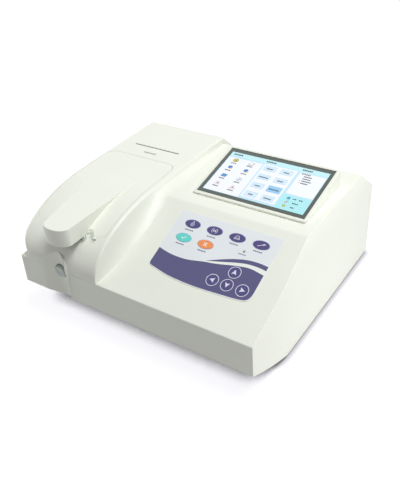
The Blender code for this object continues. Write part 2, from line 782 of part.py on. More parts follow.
def tongue_outline(shrink, tip_shrink):
    """The tongue in plan: straight right side, round tip, and a left side that spreads to the root."""
    x1 = TONGUE_X1 - shrink
    x0 = TONGUE_X1 - TONGUE_TIP_WIDTH + shrink
    half = (x1 - x0) / 2
    middle = (x0 + x1) / 2
    tip = TONGUE_TIP_Y + tip_shrink
    root = Y_FRONT + TONGUE_ROOT
    nose = [(middle + half * math.cos(a), tip + half * 0.62 * (1 + math.sin(a))) for a in
            [math.radians(-180 + 15 * step) for step in range(13)]]
    spread = TONGUE_ROOT_WIDTH - TONGUE_TIP_WIDTH
    return nose + [(x1, root), (x0 - spread, root)]


def make_cover(skin):
    """The cover: its sheet, the hollow tongue over the groove and a rib round the seam."""
    outer = prism("tongue", tongue_outline(0, 0), "Z", TONGUE_TOP - TONGUE_DROP, TONGUE_TOP)
    cut(outer, module_solid("skin_middle", WALL / 2))
    over_wall = module_solid("over_wall", -0.0006)
    combine(over_wall, block(
        "front_part", (X_LEFT, Y_FRONT - 0.02, Z_UNDER), (X_RIGHT, Y_FRONT + BAY_FRONT + SEAM, Z_TOP + 0.05)
    ), "INTERSECT")
    cut(outer, over_wall)
    weld(skin, outer)
    cut(skin, prism("tongue_hollow", tongue_outline(WALL, WALL), "Z", TONGUE_TOP - 0.05, TONGUE_TOP - WALL))
    for x0 in (BAY_X0 + SEAM, BAY_X1 - SEAM - 0.0015):
        rib = block("side_rib", (x0, Y_FRONT + 0.150, Z_TOP - WALL - RIB_DEPTH), (x0 + 0.0015, Y_FRONT + 0.198, Z_TOP - WALL / 2))
        weld(skin, rib)
    tidy(skin)
    shade(skin)
    paint(skin, IVORY)


def wall_frame(x, height):
    """A frame on the curved nose, with Z along its outward normal."""
    run = nose_run(height)
    step = 0.0005
    rise = (nose_height(run + step) - nose_height(run - step)) / (2 * step)
    normal = Vector((0, -rise, 1)).normalized()
    turn = Vector((0, 0, 1)).rotation_difference(normal).to_matrix().to_4x4()
    return Matrix.Translation((x, Y_FRONT + run, height)) @ turn


def grommet_frame():
    """Where the black bush sits, under the tongue's right edge."""
    return wall_frame(TONGUE_X1 - BUSH_FROM_TONGUE, TONGUE_TOP - TONGUE_DROP - BUSH_BELOW_TONGUE)


def hose_frame():
    """Where the clear hose goes back in through the nose."""
    return wall_frame(TONGUE_X1 + HOSE_FROM_TONGUE, TONGUE_TOP - TONGUE_DROP - HOSE_BELOW_TONGUE)


def make_hose_and_bush():
    """The black bush and the clear sample hose, which loops out through the nose beside the tongue."""
    bush = grommet_frame()
    inner = HOSE_RADIUS + GAP
    rim = BUSH_RADIUS + 0.0008
    profile = [
        (inner, -WALL - 0.0015), (BUSH_RADIUS, -WALL - 0.0015), (BUSH_RADIUS, GAP), (rim, GAP), (rim - 0.0004, 0.0014),
        (inner, 0.0014),
    ]
    turn_into(turned("tube_grommet", profile, (0, 0, 0), "Z", BLACK_PLASTIC, 16), bush)
    back = hose_frame()
    leaves = bush.translation
    enters = back.translation
    route = [bush @ Vector((0, 0, level)) for level in (-0.010, -0.003, 0.0016)]
    for offset in ((0.0026, -0.0018, 0.0030), (0.0056, 0.0003, 0.0056), (0.0067, 0.0060, 0.0097), (0.0073, 0.0105, 0.0127)):
        route.append(leaves + Vector(offset))
    for offset in ((-0.0151, 0.0088, 0.0105), (-0.0110, 0.0076, 0.0098), (-0.0062, 0.0044, 0.0076), (-0.0020, 0.0004, 0.0054)):
        route.append(enters + Vector(offset))
    route += [back @ Vector((0, 0, level)) for level in (0.0022, -0.003, -0.010)]
    pipe("sample_tube", smooth_path(route, 4), HOSE_RADIUS, CLEAR_HOSE)


def make_latch():
    """The sliding latch tab behind the cover, with a head on the top and a keeper under the skin."""
    slot_x = BAY_X0 + 0.5 * (BAY_X1 - BAY_X0)
    y = Y_FRONT + LATCH_RUN
    half = LATCH_WIDTH / 2
    head = prism("cover_latch", rounded_rectangle(
        slot_x - half, y - LATCH_DEPTH / 2, slot_x + half, y + LATCH_DEPTH / 2, 0.0015), "Z",
        Z_TOP + GAP, Z_TOP + LATCH_PROUD)
    neck = block("neck", (slot_x - half + WALL, y - LATCH_DEPTH / 2 + 0.001, Z_TOP - WALL - 0.001),
                 (slot_x + half - WALL, y + LATCH_DEPTH / 2 - 0.001, Z_TOP + 0.001))
    keeper_front = Y_FRONT + BAY_BACK + 0.0045
    keeper = block("keeper", (slot_x - half, keeper_front, Z_TOP - WALL - 0.0018),
                   (slot_x + half, y + LATCH_DEPTH / 2 + 0.001, Z_TOP - WALL - GAP))
    weld(head, neck, keeper)
    pivot(shade(head), (slot_x, y, Z_TOP))


def make_screen():
    """The wedge bezel on the deck, the glass in its pocket and the display behind it."""
    half_x = SCREEN_WIDTH / 2
    half_y = SCREEN_DEPTH / 2
    wedge = screen_prism("lcd_bezel", half_x + BEZEL_RIM, half_y + BEZEL_RIM + 0.0005, -0.045, BEZEL_LIP, BEZEL_CORNER)
    cut(wedge, block("deck_side", (X_LEFT, Y_FRONT - 0.1, -0.05), (X_RIGHT, Y_BACK + 0.1, Z_DECK + GAP)))
    depth = GLASS_THICK + DISPLAY_THICK + 3 * GAP
    sleeve = screen_prism("sleeve", half_x + BEZEL_SLEEVE, half_y + BEZEL_SLEEVE, -depth - 0.0022, -0.0003)
    weld(wedge, sleeve)
    cut(wedge, screen_prism("pocket", half_x + GAP, half_y + GAP, -depth, 0.02))
    cut(wedge, screen_prism("window", half_x - BEZEL_LEDGE, half_y - BEZEL_LEDGE, -0.06, 0.02))
    shade(tidy(wedge))
    glass = screen_prism("touch_glass", half_x, half_y, -GLASS_THICK, 0)
    paint(glass, DARK_GLASS)
    display = screen_prism("lcd_panel", half_x - GAP, half_y - GAP, -depth + GAP, -GLASS_THICK - GAP)
    paint(display, DISPLAY_GREY)


def film_outline():
    """The keypad film on the panel: square top corners and a bowed lower edge."""
    x1 = -FILM_FROM_RIGHT
    x0 = x1 - FILM_WIDTH
    middle = (x0 + x1) / 2
    corner = 2 * FILM_CORNER
    span = (FILM_WIDTH - corner) / 2
    bow = []
    for step in range(13):
        x = x0 + corner / 2 + (FILM_WIDTH - corner) * step / 12
        bow.append((x, FILM_SIDE_FOOT - FILM_CORNER / 2 - FILM_BELLY * (1 - ((x - middle) / span) ** 2)))
    top = arc((x1 - FILM_CORNER, FILM_TOP - FILM_CORNER), FILM_CORNER, 0, 90, 3)
    top += arc((x0 + FILM_CORNER, FILM_TOP - FILM_CORNER), FILM_CORNER, 90, 180, 3)
    return bow + [(x1, FILM_SIDE_FOOT + FILM_CORNER)] + top + [(x0, FILM_SIDE_FOOT + FILM_CORNER)]


def make_keypad():
    """One film with twelve embossed keys, and the power lamp under its window."""
    film = prism("keypad_overlay", film_outline(), "Z", GAP, GAP + FILM_THICK, FILM)
    spots = []
    for column in range(4):
        spots.append((-KEY_FIRST + KEY_PITCH * column, KEY_ROW_TOP, KEY_HALF_WIDTH, KEY_HALF_DEPTH))
    for column in range(2):
        spots.append((-KEY_FIRST + KEY_PITCH * column, KEY_ROW_LOW, KEY_HALF_WIDTH, KEY_HALF_DEPTH))
    for column in (-1, 0, 1):
        spots.append((-ARROW_CENTRE + ARROW_PITCH * column, ARROW_ROW, ARROW_RADIUS, ARROW_RADIUS))
    spots.append((-ARROW_CENTRE, ARROW_ROW + ARROW_STEP, ARROW_RADIUS, ARROW_RADIUS))
    for x, y, half_x, half_y in spots:
        low = ellipse((x, y), half_x, half_y)
        high = ellipse((x, y), half_x - 0.0008, half_y - 0.0008)
        rings = [[(*p, GAP + FILM_THICK / 2) for p in low], [(*p, GAP + FILM_THICK + 0.0001) for p in low],
                 [(*p, GAP + FILM_THICK + KEY_RISE) for p in high]]
        weld(film, loft("key", rings))
    cut(film, rod("window", (-LED_FROM_RIGHT, LED_ROW, -0.01), "Z", LED_RADIUS + GAP, 0.02, sides=16))
    turn_into(shade(tidy(film)), PANEL_FRAME)
    lens = [(0, -0.006), (LED_RADIUS, -0.006), (LED_RADIUS, 0.0009), (LED_RADIUS * 0.7, 0.0014), (0, 0.0016)]
    turn_into(turned("power_led", lens, (-LED_FROM_RIGHT, LED_ROW, 0), "Z", GREEN_LENS, 16), PANEL_FRAME)


def make_button():
    """The aspirate button with its stem, the return spring and the switch that it pushes."""
    z = Z_UNDER + BUTTON_HEIGHT
    y_face = Y_FRONT + GROOVE_DEPTH - BUTTON_PROUD
    y_back = Y_FRONT + GROOVE_DEPTH + WALL / 2 - GAP
    stem_end = y_back + BUTTON_STEM_LENGTH
    profile = [
        (0, y_face - 0.0006), (BUTTON_RADIUS * 0.6, y_face - 0.0004), (BUTTON_RADIUS - 0.0010, y_face),
        (BUTTON_RADIUS, y_face + 0.0010), (BUTTON_RADIUS, y_back), (BUTTON_STEM_RADIUS, y_back),
        (BUTTON_STEM_RADIUS, stem_end), (0, stem_end),
    ]
    button = turned("aspirate_button", profile, (GROOVE_X, 0, z), "Y", GREY_BUTTON)
    clip_y = stem_end - CLIP_FROM_END
    weld(button, rod("clip", (GROOVE_X, clip_y, z), "Y", CLIP_RADIUS, CLIP_THICK))
    pivot(shade(button), (GROOVE_X, y_face, z))
    plunger_y = stem_end + GAP + BUTTON_TRAVEL
    switch_y = plunger_y + PLUNGER_PROUD
    start = clip_y + CLIP_THICK + GAP + SPRING_WIRE
    end = switch_y - GAP - SPRING_WIRE
    coil = []
    for step in range(SPRING_TURNS * 12 + 1):
        angle = 2 * math.pi * step / 12
        along = start + (end - start) * step / (SPRING_TURNS * 12)
        coil.append((GROOVE_X + SPRING_RADIUS * math.cos(angle), along, z + SPRING_RADIUS * math.sin(angle)))
    pipe("button_spring", coil, SPRING_WIRE, STEEL, 1)
    half = SWITCH_BODY / 2
    body = block("button_switch", (GROOVE_X - half, switch_y, z - SWITCH_BODY + 0.004),
                 (GROOVE_X + half, switch_y + SWITCH_BODY_DEPTH, z + 0.006), BLACK_PLASTIC)
    weld(body, block("plunger", (GROOVE_X - PLUNGER_HALF, plunger_y, z - PLUNGER_HALF),
                     (GROOVE_X + PLUNGER_HALF, switch_y + 0.001, z + PLUNGER_HALF)))
    stand_y = switch_y + SWITCH_BODY_DEPTH - 0.003
    low = plate_top(stand_y - Y_FRONT) + 1.5 * GAP
    weld(body, block("stand", (GROOVE_X - half + 0.001, stand_y, low),
                     (GROOVE_X + half - 0.001, stand_y + 0.002, z - SWITCH_BODY + 0.006)))
    shade(body)


def make_base():
    """The bent base plate with its chin, the feet and the screws."""
    start = WALL + GAP
    chin = chin_points(start)
    inner = [(y, plate_top(y - Y_FRONT)) for y, z in reversed(chin)]
    inner[-1] = (inner[-1][0] + 0.0004, Z_FLOOR)
    outline = [(Y_BACK - WALL - GAP, Z_UNDER)] + chin + inner + [(Y_BACK - WALL - GAP, Z_FLOOR)]
    x0 = X_LEFT + WALL + 2 * GAP + LEFT_DRAFT * SILL_HEIGHT / (SILL_HEIGHT + FRONT_HEIGHT)
    plate = prism("base_plate", outline, "X", x0, X_RIGHT - WALL - GAP, STEEL)
    cut(plate, groove_solid("groove_room", WALL + GAP))
    for x, y in foot_places():
        cut(plate, rod("foot_hole", (x, y, Z_UNDER - 0.01), "Z", FOOT_STEM_RADIUS + GAP / 2, 0.03, sides=16))
    for x, y in screw_places():
        cut(plate, rod("screw_hole", (x, y, Z_UNDER - 0.01), "Z", SCREW_SHANK_RADIUS + GAP, 0.03, sides=16))
    for column in range(8):
        for row in range(2):
            x = X_RIGHT - 0.060 - 0.010 * column
            y = Y_FRONT + 0.130 + 0.040 * row
            cut(plate, block("vent", (x, y, Z_UNDER - 0.01), (x + 0.004, y + 0.028, Z_UNDER + 0.02)))
    tidy(plate)
    for index, (x, y) in enumerate(foot_places()):
        profile = [
            (0, 0), (FOOT_RADIUS - 0.001, 0), (FOOT_RADIUS, 0.001), (FOOT_RADIUS, Z_UNDER - GAP),
            (FOOT_STEM_RADIUS, Z_UNDER - GAP), (FOOT_STEM_RADIUS, Z_FLOOR + GAP),
            (FOOT_STEM_RADIUS + 0.0012, Z_FLOOR + GAP), (FOOT_STEM_RADIUS - 0.0008, Z_FLOOR + 0.0030), (0, Z_FLOOR + 0.0030),
        ]
        shade(turned(f"foot_{index + 1}", profile, (x, y, 0), "Z", RUBBER, 24))
    for index, (x, y) in enumerate(screw_places()):
        profile = [
            (0, Z_UNDER - GAP - SCREW_HEAD_THICK), (SCREW_HEAD_RADIUS * 0.8, Z_UNDER - GAP - SCREW_HEAD_THICK),
            (SCREW_HEAD_RADIUS, Z_UNDER - GAP - SCREW_HEAD_THICK * 0.5), (SCREW_HEAD_RADIUS, Z_UNDER - GAP),
            (SCREW_SHANK_RADIUS, Z_UNDER - GAP), (SCREW_SHANK_RADIUS, Z_UNDER + SCREW_LENGTH), (0, Z_UNDER + SCREW_LENGTH),
        ]
        shade(turned(f"base_screw_{index + 1}", profile, (x, y, 0), "Z", STEEL, 16))


def make_optics():
    """The optical bench: lamp, filter wheel with its motor, flow cell and detector along one beam."""
    x0 = BENCH_X0
    x1 = BENCH_X0 + BENCH_WIDTH
    y0 = Y_FRONT + BENCH_RUN
    y1 = y0 + BENCH_LENGTH
    floor = Z_FLOOR + GAP
    bench = block("optical_bench", (x0, y0, floor), (x1, y1, BENCH_Z), CAST_METAL)
    wheel_y = y0 + 0.088
    cell_y = y0 + 0.045
    cut(bench, block("wheel_room", (x0 + 0.006, wheel_y - 0.006, floor + 0.003), (x1 - 0.006, wheel_y + 0.006, BENCH_Z + 0.01)))
    for x, y in foot_places():
        cut(bench, rod("foot_room", (x, y, Z_UNDER), "Z", FOOT_STEM_RADIUS + 0.002, 2 * PLATE_THICK + 0.002, sides=16))
    seat = BENCH_Z + GAP
    cell = block("flow_cell_block", (BENCH_X - CELL_SIDE / 2, cell_y - CELL_SIDE / 2, seat),
                 (BENCH_X + CELL_SIDE / 2, cell_y + CELL_SIDE / 2, BENCH_Z + CELL_HEIGHT), CAST_METAL)
    cell_x = BENCH_X
    cut(cell, block("well", (cell_x - 0.0065, cell_y - 0.0065, BEAM_Z - 0.014), (cell_x + 0.0065, cell_y + 0.0065, BENCH_Z + 0.08)))
    cut(cell, rod("beam", (cell_x, cell_y - 0.03, BEAM_Z), "Y", 0.003, 0.06, sides=16))
    for side in (-1, 1):
        cut(cell, rod("bolt", (cell_x + side * 0.0135, cell_y, BENCH_Z + CELL_HEIGHT - 0.006), "Z", 0.0022, 0.01, sides=12))
    cuvette = block("flow_cell", (cell_x - 0.0062, cell_y - 0.0062, BEAM_Z - 0.0137),
                    (cell_x + 0.0062, cell_y + 0.0062, BENCH_Z + CELL_HEIGHT + 0.006), QUARTZ)
    for side in (-1, 1):
        weld(cuvette, rod("nipple", (cell_x + side * 0.003, cell_y, BENCH_Z + CELL_HEIGHT + 0.004), "Z", 0.0014, 0.008, sides=12))
    detector = block("detector_housing", (cell_x - 0.014, y0 + 0.004, seat), (cell_x + 0.014, y0 + 0.022, BEAM_Z + 0.014), BLACK_METAL)
    cut(detector, rod("port", (cell_x, y0 + 0.012, BEAM_Z), "Y", 0.003, 0.02, sides=16))
    lamp_y0 = y0 + 0.108
    lamp = block("lamp_housing", (cell_x - 0.018, lamp_y0, seat), (cell_x + 0.018, y1 - 0.004, BEAM_Z + 0.018), BLACK_METAL)
    cut(lamp, rod("aperture", (cell_x, lamp_y0 - 0.01, BEAM_Z), "Y", 0.004, 0.02, sides=16))
    cut(lamp, rod("lamp_bore", (cell_x, lamp_y0 + 0.019, BEAM_Z - 0.014), "Z", LAMP_RADIUS + GAP, 0.06, sides=24))
    for index in range(5):
        y = lamp_y0 + 0.004 + 0.0068 * index
        for side in (-1, 1):
            outer = cell_x + side * 0.018
            cut(lamp, block("fin_gap", (min(outer, outer - side * 0.006), y, BENCH_Z + 0.006),
                            (max(outer, outer + side * 0.002) + 0.001, y + 0.003, BEAM_Z + 0.03)))
    bulb = [(0, -0.0135), (LAMP_RADIUS, -0.0135), (LAMP_RADIUS, -0.002), (0.0045, 0.001), (0.0045, 0.009), (0.002, 0.013), (0, 0.0135)]
    turned("halogen_lamp", bulb, (cell_x, lamp_y0 + 0.019, BEAM_Z), "Z", QUARTZ, 16)
    hub_z = BEAM_Z - FILTER_REACH
    wheel = turned("filter_wheel", [
        (0, -WHEEL_THICK / 2), (WHEEL_RADIUS, -WHEEL_THICK / 2), (WHEEL_RADIUS, WHEEL_THICK / 2), (0, WHEEL_THICK / 2)
    ], (cell_x, wheel_y, hub_z), "Y", BLACK_METAL)
    for index in range(WHEEL_FILTERS):
        angle = 2 * math.pi * index / WHEEL_FILTERS + math.pi / 2
        place_x = cell_x + FILTER_REACH * math.cos(angle)
        place_z = hub_z + FILTER_REACH * math.sin(angle)
        cut(wheel, rod("pocket", (place_x, wheel_y - 0.001, place_z), "Y", FILTER_RADIUS, WHEEL_THICK, sides=12))
    motor_y1 = wheel_y - WHEEL_THICK / 2 - 0.001
    motor_y0 = motor_y1 - MOTOR_LENGTH
    weld(wheel, rod("shaft", (cell_x, motor_y0 + 0.003, hub_z), "Y", WHEEL_SHAFT_RADIUS, motor_y1 - motor_y0))
    pivot(shade(tidy(wheel)), (cell_x, wheel_y, hub_z))
    motor = block("filter_motor", (cell_x - MOTOR_SIDE / 2, motor_y0, seat),
                  (cell_x + MOTOR_SIDE / 2, motor_y1, hub_z + MOTOR_SIDE / 2), BLACK_METAL)
    cut(motor, rod("bore", (cell_x, motor_y0 + 0.003 - GAP, hub_z), "Y", WHEEL_SHAFT_RADIUS + RUNNING_FIT, 0.03))
    tidy(motor)


def make_pump():
    """The peristaltic pump: motor below, open head with rollers above, and the hose round them."""
    floor = Z_FLOOR + GAP
    top = floor + PUMP_MOTOR_LENGTH
    motor = rod("pump_motor", (PUMP_X, PUMP_Y, floor), "Z", PUMP_MOTOR_RADIUS, PUMP_MOTOR_LENGTH, STEEL, 24)
    shade(motor)
    seat = top + GAP
    head = rod("pump_body", (PUMP_X, PUMP_Y, seat), "Z", PUMP_RADIUS, PUMP_HEIGHT, BLACK_PLASTIC, 32)
    race = PUMP_ROTOR_RADIUS + 2 * HOSE_RADIUS + 3 * GAP
    mouth = block("mouth", (PUMP_X - 0.0115, PUMP_Y - PUMP_RADIUS - 0.01, seat + 0.004),
                  (PUMP_X + 0.0115, PUMP_Y, seat + PUMP_HEIGHT + 0.01))
    cut(head, weld(mouth, rod("race", (PUMP_X, PUMP_Y, seat + 0.004), "Z", race, PUMP_HEIGHT + 0.01, sides=32)))
    cut(head, rod("shaft_bore", (PUMP_X, PUMP_Y, seat - 0.01), "Z", 0.0025 + 0.00008, 0.03, sides=32))
    shade(tidy(head))
    rotor_z = seat + 0.004 + GAP
    rotor = rod("pump_rotor", (PUMP_X, PUMP_Y, rotor_z), "Z", PUMP_ROTOR_RADIUS - 0.002, 0.0025, GREY_BUTTON, 24)
    weld(rotor, rod("cap", (PUMP_X, PUMP_Y, rotor_z + 0.0105), "Z", PUMP_ROTOR_RADIUS - 0.002, 0.0025, sides=24))
    weld(rotor, rod("core", (PUMP_X, PUMP_Y, rotor_z - 0.0038), "Z", 0.0024, 0.016, sides=32))
    for index in range(PUMP_ROLLERS):
        angle = 2 * math.pi * index / PUMP_ROLLERS
        reach = PUMP_ROTOR_RADIUS - PUMP_ROLLER_RADIUS
        centre = (PUMP_X + reach * math.cos(angle), PUMP_Y + reach * math.sin(angle), rotor_z + 0.001)
        weld(rotor, rod("roller", centre, "Z", PUMP_ROLLER_RADIUS - 0.0002, 0.011, sides=16))
    pivot(shade(tidy(rotor)), (PUMP_X, PUMP_Y, rotor_z))
    hose_z = rotor_z + 0.0065
    ring = PUMP_ROTOR_RADIUS + HOSE_RADIUS + GAP
    points = [(PUMP_X - 0.0072, PUMP_Y - 0.034, hose_z), (PUMP_X - 0.0090, PUMP_Y - 0.022, hose_z)]
    for step in range(15):
        angle = math.radians(225 - 270 * step / 14)
        points.append((PUMP_X + ring * math.cos(angle), PUMP_Y + ring * math.sin(angle), hose_z))
    points += [(PUMP_X + 0.0090, PUMP_Y - 0.022, hose_z), (PUMP_X + 0.0072, PUMP_Y - 0.034, hose_z)]
    pipe("pump_hose", smooth_path(points, 2), HOSE_RADIUS, CLEAR_HOSE, 1)


def make_printer():
    """The thermal printer under the slot: frame, head, platen and the roll that it draws from."""
    slot_x = BAY_X0 + 0.5 * (BAY_X1 - BAY_X0)
    y = Y_FRONT + SLOT_RUN
    platen_z = Z_TOP - 0.018
    side_x = PLATEN_LENGTH / 2 + 0.0016
    frame = block("printer_frame", (slot_x - side_x - 0.0020, y - 0.014, platen_z - 0.010),
                  (slot_x + side_x + 0.0020, y + 0.052, Z_TOP - WALL - GAP), STEEL)
    cut(frame, block("frame_room", (slot_x - side_x, y - 0.02, platen_z - 0.008), (slot_x + side_x, y + 0.06, Z_TOP + 0.01)))
    roll_y = y + 0.028
    roll_z = platen_z - 0.008 - PAPER_RADIUS - 0.012
    for side in (-1, 1):
        ear_x = slot_x + side * (side_x + 0.0010)
        weld(frame, block("ear", (ear_x - 0.0010, roll_y - 0.007, roll_z - 0.007), (ear_x + 0.0010, roll_y + 0.007, platen_z - 0.009)))
    cut(frame, block("floor_room", (slot_x - side_x, y + 0.006, platen_z - 0.02), (slot_x + side_x, y + 0.050, platen_z)))
    bearing = 0.0022
    cut(frame, rod("bearing", (slot_x - 0.05, y, platen_z), "X", bearing + 0.00008, 0.1, sides=32))
    cut(frame, rod("spindle_hole", (slot_x - 0.05, roll_y, roll_z), "X", bearing + 0.00008, 0.1, sides=32))
    tidy(frame)
    platen = rod("platen_roller", (slot_x - PLATEN_LENGTH / 2, y, platen_z), "X", PLATEN_RADIUS, PLATEN_LENGTH, RUBBER, 24)
    weld(platen, rod("axle", (slot_x - side_x - 0.003, y, platen_z), "X", bearing - 0.00003, 2 * side_x + 0.006, sides=32))
    pivot(shade(tidy(platen)), (slot_x, y, platen_z))
    roll = rod("paper_roll", (slot_x - PAPER_WIDTH / 2, roll_y, roll_z), "X", PAPER_RADIUS, PAPER_WIDTH, PAPER, 48)
    weld(roll, rod("spindle", (slot_x - side_x - 0.003, roll_y, roll_z), "X", bearing - 0.00003, 2 * side_x + 0.006, sides=32))
    pivot(shade(tidy(roll)), (slot_x, roll_y, roll_z))
    block("print_head", (slot_x - 0.027, y - PLATEN_RADIUS - GAP - 0.004, platen_z - 0.0077),
          (slot_x + 0.027, y - PLATEN_RADIUS - GAP, platen_z + 0.006), CAST_METAL)


def make_electronics():
    """The main board on its stands and the power supply beside it."""
    floor = Z_FLOOR + GAP
    x1 = X_RIGHT - BOARD_FROM_RIGHT
    x0 = x1 - BOARD_WIDTH
    y0 = Y_FRONT + BOARD_RUN
    y1 = y0 + BOARD_LENGTH
    level = floor + BOARD_STAND
    board = block("main_board", (x0, y0, level), (x1, y1, level + BOARD_THICK), BOARD_GREEN)
    for x in (x0 + 0.006, x1 - 0.006):
        for y in (y0 + 0.006, y1 - 0.006):
            weld(board, rod("stand", (x, y, floor), "Z", 0.003, BOARD_STAND + 0.0005, sides=12))
    chips = [
        (0.030, 0.040, 0.024, 0.024, 0.003), (0.075, 0.040, 0.016, 0.016, 0.002), (0.030, 0.085, 0.014, 0.020, 0.002),
        (0.070, 0.090, 0.030, 0.010, 0.006), (0.105, 0.060, 0.010, 0.040, 0.008), (0.060, 0.120, 0.012, 0.012, 0.010),
    ]
    for x, y, width, length, height in chips:
        weld(board, block("chip", (x0 + x - width / 2, y0 + y - length / 2, level + 0.0005),
                          (x0 + x + width / 2, y0 + y + length / 2, level + BOARD_THICK + height)))
    tidy(board)
    supply_x1 = x0 - 0.006
    supply = block("power_supply", (supply_x1 - SUPPLY_WIDTH, y0, floor), (supply_x1, y0 + SUPPLY_LENGTH, floor + SUPPLY_HEIGHT), STEEL)
    for column in range(2):
        for row in range(6):
            x = supply_x1 - SUPPLY_WIDTH + 0.009 + 0.024 * column
            y = y0 + 0.012 + 0.016 * row
            cut(supply, block("vent", (x, y, floor + SUPPLY_HEIGHT - 0.001), (x + 0.018, y + 0.006, floor + SUPPLY_HEIGHT + 0.01)))


